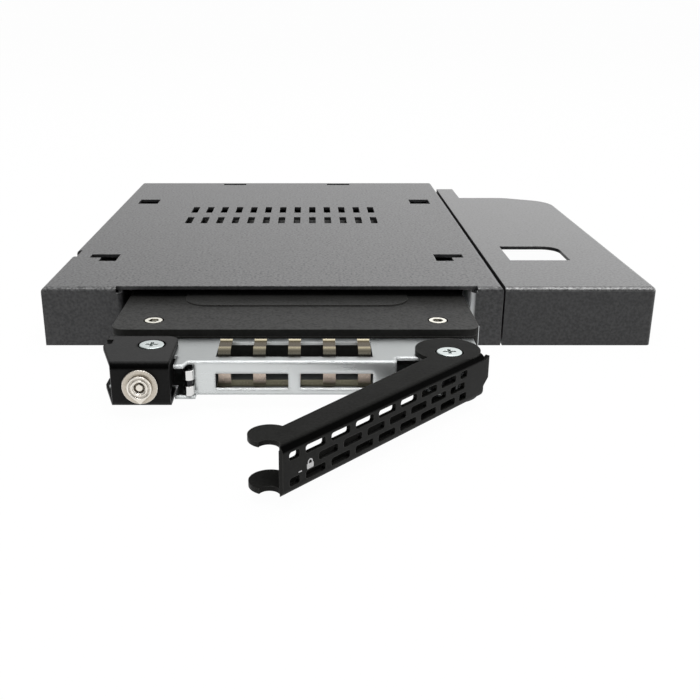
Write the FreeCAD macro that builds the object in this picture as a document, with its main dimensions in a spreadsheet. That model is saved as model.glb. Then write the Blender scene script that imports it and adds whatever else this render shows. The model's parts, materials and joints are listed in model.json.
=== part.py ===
import FreeCAD
import Part
import Sketcher
import math
import os
import re

# Slim mobile rack for one 2.5-inch drive, in millimetres.
# +X is to the right, +Y to the back and +Z up. The origin lies on the underside, half way back,
# in the middle plane of the tray.

doc = FreeCAD.newDocument("drive_rack")
rack = doc.addObject("Spreadsheet::Sheet", "rack")

# Driving sizes
SIZES = {
    # Housing: steel sheet, outline and front opening
    "rear_space": 3.2,
    "body_height": 12.7,
    "steel": 0.8,
    "bend": 1.0,
    "nest_gap": 0.15,
    "left_block": 16.7,
    "opening_width": 72.9,
    "post_width": 6.6,
    "return_depth": 12.0,
    "lip_setback": 1.2,
    "corner_relief": 1.2,
    "front_cut": 19.0,
    "cut_margin": 1.1,
    # Vent slots and hook slots of the cover, measured from the front plane and the side edges
    "vent_count": 13,
    "vent_pitch": 4.2,
    "vent_width": 1.85,
    "vent_length": 8.0,
    "vent_start": 62.0,
    "vent_row_pitch": 14.0,
    "hook_inset": 4.6,
    "hook_wide": 6.7,
    "hook_narrow": 4.0,
    "hook_start": 21.8,
    "hook_step": 3.15,
    "rear_slot_start": 89.0,
    "rear_slot_width": 5.9,
    "rear_slot_length": 6.5,
    "rear_notch_offset": 13.3,
    "rear_notch_width": 7.4,
    "rear_notch_depth": 2.4,
    "rear_notch_edge": 1.1,
    "edge_slot_start": 26.0,
    "edge_slot_length": 6.0,
    "edge_slot_width": 1.4,
    # Base pan
    "flange_drop": 1.9,
    "port_margin": 0.6,
    "board_tab_width": 5.0,
    "board_tab_height": 9.0,
    "mount_hole_radius": 0.8,
    "mount_hole_spacing": 76.0,
    "mount_hole_drop": 4.1,
    # Guide rails
    "rail_gap": 0.4,
    "rail_steel": 0.6,
    "rail_foot": 4.0,
    "rail_lip": 1.4,
    "rail_ledge": 3.2,
    "rail_start": 20.0,
    "rail_tail": 7.2,
    # Side wing
    "wing_gap": 0.35,
    "wing_width": 31.45,
    "wing_short": 25.0,
    "wing_slant_x": 13.0,
    "wing_slant_y": 6.5,
    "wing_round": 9.0,
    "wing_flange": 8.5,
    "tongue_width": 5.0,
    "tongue_short": 11.0,
    "window_inset": 5.4,
    "window_width": 13.9,
    "window_start": 22.5,
    "window_depth": 13.4,
    "window_corner": 4.0,
    # Housing screws
    "thread_radius": 1.0,
    "thread_gap": 0.03,
    "small_head_radius": 1.7,
    "small_head_height": 0.4,
    "small_screw_length": 2.6,
    "side_screw_drop": 6.7,
    "wing_screw_drop": 5.1,
    # Backplane board and its connectors
    "board_thickness": 1.6,
    "board_inset_left": 11.25,
    "board_inset_right": 1.45,
    "board_base": 1.1,
    "board_headroom": 0.6,
    "board_screw_inset": 2.6,
    "plug_space": 3.4,
    "socket_offset": 9.0,
    "socket_width": 42.6,
    "socket_height": 3.6,
    "socket_nose": 5.0,
    "socket_flange": 3.0,
    "socket_flange_margin": 1.6,
    "tongue_length": 40.0,
    "tongue_thickness": 1.2,
    "tongue_gap": 0.3,
    "host_offset": 14.0,
    "host_width": 24.6,
    "host_height": 5.4,
    "host_depth": 5.0,
    "host_wall": 1.0,
    # Drive
    "drive_width": 69.85,
    "drive_length": 100.2,
    "drive_height": 7.0,
    "drive_wall": 1.2,
    "drive_corner": 2.6,
    "lid_thickness": 1.4,
    "lid_screw_inset": 5.6,
    "lid_screw_side": 7.4,
    "lid_head_height": 0.7,
    "lid_head_gap": 0.3,
    "hex_flats": 1.9,
    "hex_depth": 0.5,
    "lid_post_radius": 2.2,
    "panel_width": 46.0,
    "panel_start": 14.6,
    "panel_length": 70.0,
    "panel_rise": 0.25,
    "panel_corner": 5.0,
    "plug_opening": 46.0,
    "plug_depth": 6.6,
    "plug_block": 1.5,
    "drive_board_width": 48.0,
    "drive_board_length": 70.0,
    "drive_board_thickness": 1.0,
    "side_hole_level": 3.0,
    "side_hole_first": 14.0,
    "side_hole_last": 9.6,
    "side_hole_radius": 1.5,
    "side_head_radius": 2.4,
    "side_head_height": 0.35,
    "side_screw_reach": 2.6,
    # Tray, with its front bar and top plate
    "drive_out": 19.8,
    "front_gap": 1.0,
    "drive_headroom": 1.6,
    "drive_setback": 15.6,
    "slide_gap": 0.25,
    "tray_steel": 0.6,
    "tray_bend": 0.9,
    "tray_fit": 0.2,
    "wall_drop": 1.4,
    "wall_setback": 6.0,
    "tray_tail": 2.0,
    "plate_drop": 1.3,
    "plate_gap": 0.5,
    "plate_inset": 2.42,
    "bar_reach": 12.5,
    "bar_half": 17.95,
    "lock_notch_reach": 9.6,
    "lock_notch_edge": 20.9,
    "tab_reach": 14.5,
    "tab_edge": 19.2,
    "tab_slant": 0.7,
    "shoulder_reach": 6.9,
    "boss_radius": 3.6,
    "slot_half": 13.9,
    "slot_start": 2.4,
    "slot_length": 7.8,
    "pane_width": 12.85,
    "pane_split": 2.1,
    "pane_base": 1.2,
    "pane_height": 2.8,
    # Spring fingers
    "finger_count": 5,
    "finger_pitch": 6.25,
    "finger_width": 2.25,
    "finger_sheet": 0.25,
    "finger_curl": 1.0,
    "finger_back": 2.9,
    "finger_rise": 1.35,
    "finger_dip": 1.1,
    "finger_foot": 2.4,
    # Black lock bracket and lever
    "black_steel": 0.8,
    "black_bend": 1.3,
    "black_gap": 0.05,
    "black_drop": 0.3,
    "bracket_left": 34.4,
    "bracket_right": 21.4,
    "bracket_face_left": 31.5,
    "bracket_rear": 1.9,
    "bracket_heel": 4.5,
    "bracket_taper": 7.5,
    "bracket_round": 2.2,
    "bracket_bite": 1.2,
    "bracket_bite_start": 4.0,
    "bracket_bite_length": 2.2,
    "bracket_side_reach": 6.0,
    "bracket_side_slant": 3.2,
    "lock_reach": 16.2,
    "bracket_screw_x": 25.8,
    "bracket_screw_reach": 6.6,
    "standoff_radius": 2.0,
    "machine_radius": 1.25,
    "machine_head_radius": 2.25,
    "machine_head_height": 0.5,
    "head_sink": 0.4,
    "head_ring": 0.3,
    "machine_length": 5.0,
    "recess_length": 2.3,
    "recess_width": 0.55,
    "recess_depth": 0.45,
    # Key lock
    "lock_x": 26.5,
    "lock_rise": 4.0,
    "lock_flange_radius": 3.1,
    "lock_flange_height": 0.6,
    "barrel_radius": 2.3,
    "barrel_length": 4.3,
    "barrel_gap": 0.05,
    "nut_flats": 5.8,
    "nut_height": 1.4,
    "plug_radius": 1.7,
    "dial_radius": 2.15,
    "dial_rim": 0.3,
    "dial_sink": 0.25,
    "dial_ring_outer": 1.5,
    "dial_ring_inner": 1.22,
    "dial_height": 0.55,
    "pointer_reach": 2.95,
    "pointer_half": 1.47,
    "key_ring_outer": 1.0,
    "key_ring_inner": 0.6,
    "key_ring_depth": 1.2,
    "cam_height": 1.0,
    "cam_gap": 0.15,
    "cam_hub": 1.6,
    "cam_reach": 2.9,
    "cam_width": 2.2,
    "cam_pin_radius": 0.9,
    "cam_screw_radius": 1.4,
    "cam_screw_height": 0.5,
    # Latch post
    "post_x": 18.4,
    "post_reach": 13.7,
    "post_radius": 0.95,
    "post_neck": 0.65,
    "post_collar": 1.75,
    "post_waist": 1.15,
    # Lever and its pivot
    "pivot_x": 27.4,
    "pivot_reach": 10.5,
    "bush_radius": 1.75,
    "spigot_radius": 1.4,
    "pivot_gap": 0.05,
    "web_reach": 5.2,
    "lever_length": 47.2,
    "lever_tail": 3.5,
    "claw_reach": 4.9,
    "brick_round": 0.45,
    "flange_root": 6.4,
    "flange_end": 4.8,
    "ear_radius": 5.8,
    "ear_shift": 1.2,
    "lobe_radius": 3.2,
    "lobe_x": 45.3,
    "lobe_y": 0.7,
    "hook_radius": 1.6,
    "hook_x": 47.9,
    "hook_y": 3.1,
    "lever_angle_deg": 47.0,
    "brick_count": 7,
    "brick_pitch": 5.5,
    "brick_length": 4.25,
    "brick_height": 1.3,
    "brick_row_pitch": 2.05,
    "brick_start": 4.7,
}

# Places worked out from the driving sizes
PLACES = {
    "body_depth": "drive_setback + drive_length + plug_space + board_thickness + rear_space",
    "front": "-body_depth / 2",
    "rear": "body_depth / 2",
    "cover_under": "body_height - steel",
    "half_open": "opening_width / 2",
    "left": "-half_open - left_block",
    "right": "half_open + post_width",
    "main_middle": "(left + right) / 2",
    "vent_left": "main_middle - vent_pitch * (vent_count - 1) / 2 - vent_width / 2",
    "pan_left": "left + steel + nest_gap",
    "pan_right": "right - steel - nest_gap",
    "pan_front": "front + steel + nest_gap",
    "wing_left": "right + wing_gap",
    "wing_right": "wing_left + wing_width",
    "wing_back": "rear - wing_short",
    "tongue_back": "rear - tongue_short",
    "wing_middle": "(front + wing_back) / 2",
    "wing_screw_step": "(wing_back - front) * 0.42",
    "side_screw_step": "body_depth * 0.28",
    "screw_bore": "thread_radius + thread_gap",
    # Levels of the tray and the drive
    "tray_low": "cover_under - drive_headroom - drive_height - tray_steel",
    "floor_top": "tray_low + tray_steel",
    "drive_top": "floor_top + drive_height",
    "drive_seam": "drive_top - lid_thickness",
    "wall_top": "drive_top - wall_drop",
    "plate_top": "drive_top - plate_drop",
    "plate_under": "plate_top - tray_steel",
    "black_top": "drive_top - black_drop",
    "black_under": "black_top - black_steel",
    "black_base": "tray_low - black_gap - black_steel",
    "sink_level": "black_top - head_sink",
    "black_floor": "black_base + black_steel",
    "lock_level": "black_base + lock_rise",
    # Places of the tray along Y, as pulled out
    "drive_front": "front - drive_out",
    "drive_rear": "drive_front + drive_length",
    "half_drive": "drive_width / 2",
    "tray_inner": "half_drive + tray_fit",
    "tray_half": "tray_inner + tray_steel",
    "tray_rear": "drive_rear - tray_tail",
    "plate_half": "tray_half - plate_inset",
    "mouth": "drive_front - front_gap",
    "wall_front": "drive_front + wall_setback",
    "bar_front": "mouth - bar_reach",
    "lock_front": "mouth - lock_reach",
    "pivot_y": "mouth - pivot_reach",
    "post_y": "mouth - post_reach",
    "bracket_screw_y": "mouth - bracket_screw_reach",
    "rail_in": "tray_half + rail_gap",
    "mount_hole_level": "body_height - mount_hole_drop",
    "side_screw_level": "body_height - side_screw_drop",
    "wing_screw_level": "body_height - wing_screw_drop",
    "flange_height": "cover_under - flange_drop",
    "rail_top": "drive_top + slide_gap + rail_steel",
    "rail_front": "front + rail_start",
    "rail_length": "board_front - rail_tail - rail_front",
    "ledge_top": "tray_low - slide_gap",
    "cut_half": "half_open + cut_margin",
    # Backplane, where the drive ends when the tray is home
    "home_rear": "front + drive_setback + drive_length",
    "board_front": "home_rear + plug_space",
    "board_back": "board_front + board_thickness",
    "board_left": "pan_left + steel + board_inset_left",
    "board_right": "pan_right - steel - board_inset_right",
    "board_rise": "cover_under - board_headroom - board_base",
    "board_screw_level": "board_base + board_rise - board_screw_inset",
    "plug_level": "floor_top + (drive_wall + drive_height - lid_thickness) / 2",
    "host_level": "board_base + host_height / 2 + nest_gap",
    "host_rear": "board_back + host_depth",
    # Drive mounting holes
    "side_hole_rear": "drive_rear - side_hole_first",
    "side_hole_front": "drive_front + side_hole_last",
    "side_hole_z": "floor_top + side_hole_level",
    # Key lock along Y
    "lock_face": "lock_front - lock_flange_height",
    "barrel_back": "lock_front + barrel_length",
    "cam_front": "barrel_back + cam_gap",
    "cam_back": "cam_front + cam_height",
}


def fill_sheet():
    """Write driving sizes as plain numbers and places as formulas, each under its own alias."""
    for row, (alias, number) in enumerate(SIZES.items(), 1):
        rack.set(f"A{row}", str(number))
        rack.setAlias(f"A{row}", alias)
    for row, (alias, formula) in enumerate(PLACES.items(), 1):
        rack.set(f"B{row}", "=" + formula)
        rack.setAlias(f"B{row}", alias)
    doc.recompute()


def bound(text):
    """Turn the aliases in a formula into references to the sheet."""
    return re.sub(r"[a-z_]+", lambda word: "rack." + word.group(), text)


def number(text):
    """Value that a formula has now."""
    return float(rack.evalExpression(bound(text)))


def new_body(label):
    part = doc.addObject("PartDesign::Body", label)
    part.Label = label
    part.AllowCompound = True
    return part


def origin_feature(part, role):
    return next(item for item in part.Origin.OriginFeatures if item.Role == role)


def tie(drawn, formula, *constraint):
    """Add a dimension to a sketch and bind it to the sheet."""
    index = drawn.addConstraint(Sketcher.Constraint(*constraint, number(formula)))
    if re.search("[a-z]", formula):
        drawn.setExpression(f"Constraints[{index}]", bound(formula))


def draw_ring(drawn, x, y, radius):
    circle = Part.Circle(FreeCAD.Vector(number(x), number(y), 0), FreeCAD.Vector(0, 0, 1), number(radius))
    index = drawn.addGeometry(circle)
    tie(drawn, x, "DistanceX", index, 3)
    tie(drawn, y, "DistanceY", index, 3)
    tie(drawn, radius, "Radius", index)


def draw_outline(drawn, corners):
    """Closed outline. A corner (x, y) starts a line, and (x, y, radius, turn) starts an arc that
    turns left (1) or right (-1) on its way to the next corner."""
    points = [FreeCAD.Vector(number(corner[0]), number(corner[1]), 0) for corner in corners]
    begins = []
    ends = []
    for place, corner in enumerate(corners):
        here = points[place]
        there = points[(place + 1) % len(points)]
        if len(corner) == 2:
            index = drawn.addGeometry(Part.LineSegment(here, there))
            begins.append((index, 1))
            ends.append((index, 2))
            continue
        radius = number(corner[2])
        turn = corner[3]
        chord = there - here
        flat = math.sqrt(max(radius ** 2 - chord.Length ** 2 / 4, 0))
        side = FreeCAD.Vector(chord.y, -chord.x, 0).normalize()
        middle = (here + there) / 2 + side * (turn * (radius - flat))
        index = drawn.addGeometry(Part.Arc(here, middle, there))
        begins.append((index, 1 if turn > 0 else 2))
        ends.append((index, 2 if turn > 0 else 1))
    for place, corner in enumerate(corners):
        drawn.addConstraint(Sketcher.Constraint("Coincident", *ends[place - 1], *begins[place]))
        tie(drawn, corner[0], "DistanceX", *begins[place])
        tie(drawn, corner[1], "DistanceY", *begins[place])
        if len(corner) > 2:
            tie(drawn, corner[2], "Radius", begins[place][0])


def box(x_low, y_low, x_high, y_high):
    """Corners of a rectangle."""
    return [(x_low, y_low), (x_high, y_low), (x_high, y_high), (x_low, y_high)]


def rounded_box(x_low, y_low, x_high, y_high, radius):
    """Corners of a rectangle with four round corners."""
    return [
        (f"({x_low}) + ({radius})", y_low),
        (f"({x_high}) - ({radius})", y_low, radius, 1),
        (x_high, f"({y_low}) + ({radius})"),
        (x_high, f"({y_high}) - ({radius})", radius, 1),
        (f"({x_high}) - ({radius})", y_high),
        (f"({x_low}) + ({radius})", y_high, radius, 1),
        (x_low, f"({y_high}) - ({radius})"),
        (x_low, f"({y_low}) + ({radius})", radius, 1),
    ]


def hexagon(x, y, flats):
    """Corners of a hexagon with two flats level, about a point."""
    reach = f"{flats} / {math.sqrt(3)}"
    turns = [(1, 0), (0.5, 0.5), (-0.5, 0.5), (-1, 0), (-0.5, -0.5), (0.5, -0.5)]
    return [(f"{x} + {across} * {reach}", f"{y} + {up} * {flats}") for across, up in turns]


def sketch_on(part, plane, level, shapes):
    """Sketch parallel to an origin plane, at a level along its axis, with outlines and rings."""
    drawn = part.newObject("Sketcher::SketchObject", part.Label + "_sketch")
    drawn.AttachmentSupport = [(origin_feature(part, plane + "_Plane"), "")]
    drawn.MapMode = "FlatFace"
    along = f"-({level})" if plane == "XZ" else level
    drawn.setExpression("AttachmentOffset.Base.z", bound(along))
    for shape in shapes:
        if isinstance(shape, tuple):
            draw_ring(drawn, *shape)
        else:
            draw_outline(drawn, shape)
    return drawn


def slab(part, plane, level, length, *shapes):
    """Material from a level, towards the positive axis. A tuple is a ring, a list an outline."""
    pad = part.newObject("PartDesign::Pad", part.Label + "_pad")
    pad.Profile = sketch_on(part, plane, level, shapes)
    pad.setExpression("Length", bound(length))
    pad.Reversed = plane == "XZ"
    return pad


def cut(part, plane, level, length, *shapes):
    """Pocket from a level, towards the positive axis."""
    pocket = part.newObject("PartDesign::Pocket", part.Label + "_pocket")
    pocket.Profile = sketch_on(part, plane, level, shapes)
    pocket.setExpression("Length", bound(length))
    pocket.Reversed = plane != "XZ"
    return pocket


def repeat(part, feature, axis, length, count):
    """Row of equal features along an origin axis."""
    row = part.newObject("PartDesign::LinearPattern", part.Label + "_row")
    row.Originals = [feature]
    row.Direction = (origin_feature(part, axis + "_Axis"), [""])
    row.setExpression("Length", bound(length))
    row.setExpression("Occurrences", bound(count))
    part.Tip = row
    return row


def on_place(edge, place):
    """Whether both ends of an edge have the coordinates that a place gives."""
    return all(
        abs(getattr(vertex.Point, axis) - number(formula)) < 1e-4
        for vertex in edge.Vertexes
        for axis, formula in place.items()
    )


def round_edges(part, radius, *places):
    """Fillet along every edge that lies at one of the places."""
    doc.recompute()
    solid = part.Tip
    names = [
        f"Edge{index}"
        for index, edge in enumerate(solid.Shape.Edges, 1)
        if any(on_place(edge, place) for place in places)
    ]
    fillet = part.newObject("PartDesign::Fillet", part.Label + "_fillet")
    fillet.Base = (solid, names)
    fillet.setExpression("Radius", bound(radius))
    return fillet


def shell_open_below(part, wall):
    """Hollow a solid to an even wall and leave it open at its lowest face."""
    doc.recompute()
    solid = part.Tip
    low = solid.Shape.BoundBox.ZMin
    names = [f"Face{index}" for index, face in enumerate(solid.Shape.Faces, 1)
             if face.BoundBox.ZMax < low + 1e-3]
    shell = part.newObject("PartDesign::Thickness", part.Label + "_shell")
    shell.Base = (solid, names)
    shell.setExpression("Value", bound(wall))
    shell.Reversed = True
    shell.Mode = "Skin"
    shell.Join = "Intersection"
    return shell


# Housing


def cover_screw_places():
    """Points (y, z) of the screws in each side wall of the cover."""
    return [("side_screw_step", "side_screw_level"), ("-side_screw_step", "side_screw_level")]


def wing_screw_places():
    """Points (y, z) of the screws between the wing and the cover."""
    return [(f"wing_middle + {step} * wing_screw_step", "wing_screw_level") for step in (-1, 0, 1)]


def make_top_cover():
    part = new_body("top_cover")
    slab(part, "XY", "cover_under", "steel", [
        ("left", "front"),
        ("-half_open", "front"),
        ("-half_open", "front + lip_setback"),
        ("half_open", "front + lip_setback"),
        ("half_open", "front"),
        ("right", "front"),
        ("right", "rear"),
        ("left", "rear"),
    ])
    slab(part, "XZ", "front", "steel",
         box("left", "0", "-half_open", "cover_under"),
         box("half_open", "0", "right", "cover_under"))
    slab(part, "XY", "0", "cover_under",
         box("left", "front", "left + steel", "rear"),
         box("right - steel", "front", "right", "rear"),
         box("-half_open - steel", "front", "-half_open", "front + return_depth"),
         box("half_open", "front", "half_open + steel", "front + return_depth"))
    cut(part, "XY", "body_height - corner_relief", "corner_relief",
        box("-half_open - corner_relief", "front", "-half_open", "front + corner_relief"),
        box("half_open", "front", "half_open + corner_relief", "front + corner_relief"))
    round_edges(part, "bend",
                {"x": "left", "z": "body_height"},
                {"x": "right", "z": "body_height"},
                {"y": "front", "z": "body_height"})
    round_edges(part, "bend", {"x": "-half_open", "y": "front"}, {"x": "half_open", "y": "front"})
    vent_next = "front + vent_start + vent_row_pitch"
    vents = cut(part, "XY", "cover_under", "steel",
                box("vent_left", "front + vent_start", "vent_left + vent_width",
                    "front + vent_start + vent_length"),
                box("vent_left", vent_next, "vent_left + vent_width", vent_next + " + vent_length"))
    repeat(part, vents, "X", "vent_pitch * (vent_count - 1)", "vent_count")
    hooks = []
    for edge, sign in (("left", "+"), ("right", "-")):
        inner = f"{edge} {sign} hook_inset {sign} hook_wide"
        outer = f"{edge} {sign} hook_inset"
        middle = f"{edge} {sign} hook_inset {sign} hook_wide {'-' if sign == '+' else '+'} hook_narrow"
        hooks.append([
            (inner, "front + hook_start"),
            (inner, "front + hook_start + 2 * hook_step"),
            (outer, "front + hook_start + 2 * hook_step"),
            (outer, "front + hook_start + hook_step"),
            (middle, "front + hook_start + hook_step"),
            (middle, "front + hook_start"),
        ])
        hooks.append(box(outer, "front + rear_slot_start", f"{outer} {sign} rear_slot_width",
                         "front + rear_slot_start + rear_slot_length"))
        start = f"main_middle {sign} rear_notch_offset"
        hooks.append(box(start, "rear - rear_notch_edge - rear_notch_depth",
                         f"{start} {sign} rear_notch_width", "rear - rear_notch_edge"))
    cut(part, "XY", "cover_under", "steel", *hooks)
    cut(part, "XY", "body_height - 2 * steel", "2 * steel",
        box("left", "front + edge_slot_start", "left + edge_slot_width",
            "front + edge_slot_start + edge_slot_length"))
    screws = [(y, z, "screw_bore") for y, z in cover_screw_places()]
    sinks = [(y, z, "small_head_radius + thread_gap") for y, z in cover_screw_places()]
    wing_screws = [(y, z, "screw_bore") for y, z in wing_screw_places()]
    cut(part, "YZ", "left", "steel", *screws)
    cut(part, "YZ", "left", "small_head_height", *sinks)
    cut(part, "YZ", "right - steel", "steel", *screws, *wing_screws)
    cut(part, "YZ", "right - small_head_height", "small_head_height", *sinks)
    return part


def make_base_pan():
    part = new_body("base_pan")
    slab(part, "XY", "0", "steel", [
        ("pan_left", "pan_front"),
        ("-cut_half", "pan_front"),
        ("-cut_half", "front + front_cut"),
        ("cut_half", "front + front_cut"),
        ("cut_half", "pan_front"),
        ("pan_right", "pan_front"),
        ("pan_right", "rear"),
        ("pan_left", "rear"),
    ])
    slab(part, "XY", "0", "flange_height",
         box("pan_left", "pan_front", "pan_left + steel", "rear"),
         box("pan_right - steel", "pan_front", "pan_right", "rear"))
    slab(part, "XZ", "rear - steel", "steel",
         box("pan_left", "0", "pan_right", "cover_under - nest_gap"))
    slab(part, "XZ", "board_back", "steel",
         box("board_left", "0", "board_left + board_tab_width", "board_tab_height"),
         box("board_right - board_tab_width", "0", "board_right", "board_tab_height"))
    round_edges(part, "bend", {"x": "pan_left", "z": "0"}, {"x": "pan_right", "z": "0"})
    cut(part, "XZ", "rear - steel", "steel",
        box("-host_offset - host_width / 2 - port_margin", "host_level - host_height / 2 - nest_gap",
            "-host_offset + host_width / 2 + port_margin", "host_level + host_height / 2 + port_margin"),
        ("main_middle - mount_hole_spacing / 2", "mount_hole_level", "mount_hole_radius"),
        ("main_middle + mount_hole_spacing / 2", "mount_hole_level", "mount_hole_radius"))
    cut(part, "XZ", "board_back", "steel",
        ("board_left + board_screw_inset", "board_screw_level", "screw_bore"),
        ("board_right - board_screw_inset", "board_screw_level", "screw_bore"))
    screws = [(y, z, "screw_bore") for y, z in cover_screw_places()]
    wing_screws = [(y, z, "screw_bore") for y, z in wing_screw_places()]
    cut(part, "YZ", "pan_left", "steel", *screws)
    cut(part, "YZ", "pan_right - steel", "steel", *screws, *wing_screws)
    return part


def make_rail(label, sign):
    """Extruded guide: a foot on the base pan, a step under the tray, an upright web and a lip over the
    edge of the drive."""
    part = new_body(label)
    section = [
        ("rail_in - rail_lip", "rail_top - rail_steel"),
        ("rail_in", "rail_top - rail_steel"),
        ("rail_in", "ledge_top"),
        ("rail_in - rail_ledge", "ledge_top"),
        ("rail_in - rail_ledge", "steel"),
        ("rail_in + rail_foot", "steel"),
        ("rail_in + rail_foot", "steel + rail_steel"),
        ("rail_in + rail_steel", "steel + rail_steel"),
        ("rail_in + rail_steel", "rail_top"),
        ("rail_in - rail_lip", "rail_top"),
    ]
    slab(part, "XZ", "rail_front", "rail_length", [(f"{sign}({x})", z) for x, z in section])
    return part


def make_wing_cover():
    """Shelled lid, open below: front face, left wall and a slanted rear corner. Its right flange is
    short behind the front corner, and its window has one large round corner."""
    part = new_body("wing_cover")
    slab(part, "XY", "0", "body_height", [
        ("wing_left", "front"),
        ("wing_right", "front"),
        ("wing_right", "wing_back - wing_slant_y"),
        ("wing_right - wing_slant_x", "wing_back"),
        ("wing_left + tongue_width", "wing_back"),
        ("wing_left + tongue_width", "tongue_back"),
        ("wing_left", "tongue_back"),
    ])
    round_edges(part, "wing_round",
                {"x": "wing_right", "y": "wing_back - wing_slant_y"},
                {"x": "wing_right - wing_slant_x", "y": "wing_back"})
    round_edges(part, "bend",
                {"y": "front", "z": "body_height"},
                {"x": "wing_right", "z": "body_height"},
                {"x": "wing_right", "y": "front"})
    shell_open_below(part, "steel")
    cut(part, "XY", "0", "body_height - wing_flange",
        box("wing_right - wing_slant_x", "front + return_depth", "wing_right", "wing_back"))
    low_x = "wing_left + window_inset"
    high_x = "wing_left + window_inset + window_width"
    low_y = "front + window_start"
    high_y = "front + window_start + window_depth"
    cut(part, "XY", "cover_under", "steel", [
        (low_x, low_y),
        (high_x, low_y),
        (high_x, high_y + " - window_corner", "window_corner", 1),
        (high_x + " - window_corner", high_y),
        (low_x, high_y),
    ])
    cut(part, "YZ", "wing_left", "steel", *[(y, z, "screw_bore") for y, z in wing_screw_places()])
    return part


def make_screws_along_x(label, head_low, shank_low, shank_length, places):
    """Group of screws that point along X, each a low round head and a shank."""
    part = new_body(label)
    slab(part, "YZ", head_low, "small_head_height", *[(y, z, "small_head_radius") for y, z in places])
    slab(part, "YZ", shank_low, shank_length, *[(y, z, "thread_radius") for y, z in places])
    return part


def make_cover_screws():
    part = make_screws_along_x("cover_screws", "left", "left + small_head_height",
                               "small_screw_length", cover_screw_places())
    places = cover_screw_places()
    slab(part, "YZ", "right - small_head_height", "small_head_height",
         *[(y, z, "small_head_radius") for y, z in places])
    slab(part, "YZ", "right - small_head_height - small_screw_length", "small_screw_length",
         *[(y, z, "thread_radius") for y, z in places])
    return part


def make_wing_screws():
    return make_screws_along_x("wing_screws", "wing_left + steel",
                               "pan_right - steel - small_head_height",
                               "wing_left + steel - pan_right + steel + small_head_height",
                               wing_screw_places())


def make_backplane_board():
    part = new_body("backplane_board")
    slab(part, "XZ", "board_front", "board_thickness",
         box("board_left", "board_base", "board_right", "board_base + board_rise"))
    cut(part, "XZ", "board_front", "board_thickness",
        ("board_left + board_screw_inset", "board_screw_level", "screw_bore"),
        ("board_right - board_screw_inset", "board_screw_level", "screw_bore"))
    return part


def make_board_screws():
    part = new_body("board_screws")
    places = ["board_left + board_screw_inset", "board_right - board_screw_inset"]
    slab(part, "XZ", "board_front - small_head_height", "small_head_height",
         *[(x, "board_screw_level", "small_head_radius") for x in places])
    slab(part, "XZ", "board_front", "small_screw_length",
         *[(x, "board_screw_level", "thread_radius") for x in places])
    return part


def make_drive_socket():
    """Flange on the board and a nose with a slot that takes the tongue of the drive's plug."""
    part = new_body("drive_socket")
    wide = "socket_width / 2 + socket_flange_margin"
    tall = "socket_height / 2 + socket_flange_margin / 2"
    slab(part, "XZ", "board_front - socket_flange", "socket_flange",
         box(f"-socket_offset - {wide}", f"plug_level - {tall}",
             f"-socket_offset + {wide}", f"plug_level + {tall}"))
    slab(part, "XZ", "home_rear - socket_nose", "socket_nose + plug_space - socket_flange",
         box("-socket_offset - socket_width / 2", "plug_level - socket_height / 2",
             "-socket_offset + socket_width / 2", "plug_level + socket_height / 2"))
    cut(part, "XZ", "home_rear - socket_nose", "socket_nose + tongue_gap",
        box("-socket_offset - tongue_length / 2 - tongue_gap",
            "plug_level - tongue_thickness / 2 - tongue_gap",
            "-socket_offset + tongue_length / 2 + tongue_gap",
            "plug_level + tongue_thickness / 2 + tongue_gap"))
    return part


def make_host_connector():
    """Shell behind the board, open to the rear, round a thin contact tongue."""
    part = new_body("host_connector")
    low_x = "-host_offset - host_width / 2"
    high_x = "-host_offset + host_width / 2"
    low_z = "host_level - host_height / 2"
    high_z = "host_level + host_height / 2"
    slab(part, "XZ", "board_back", "host_depth", box(low_x, low_z, high_x, high_z))
    cut(part, "XZ", "board_back + host_wall", "host_depth - host_wall",
        box(low_x + " + host_wall", low_z + " + host_wall",
            high_x + " - host_wall", high_z + " - host_wall"))
    slab(part, "XZ", "board_back + host_wall", "host_depth - 2 * host_wall",
         box(low_x + " + 2 * host_wall", "host_level - host_wall / 2",
             high_x + " - 2 * host_wall", "host_level + host_wall / 2"))
    return part


# Tray


def boss_corners():
    """Round end of the tray's front about the lever's pivot, from its left side to its right."""
    return [
        ("pivot_x - boss_radius", "pivot_y", "boss_radius", 1),
        ("pivot_x", "pivot_y - boss_radius", "boss_radius", 1),
        ("pivot_x + boss_radius", "pivot_y"),
        ("pivot_x + boss_radius", "mouth - shoulder_reach"),
        ("plate_half", "mouth - shoulder_reach"),
    ]


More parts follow.
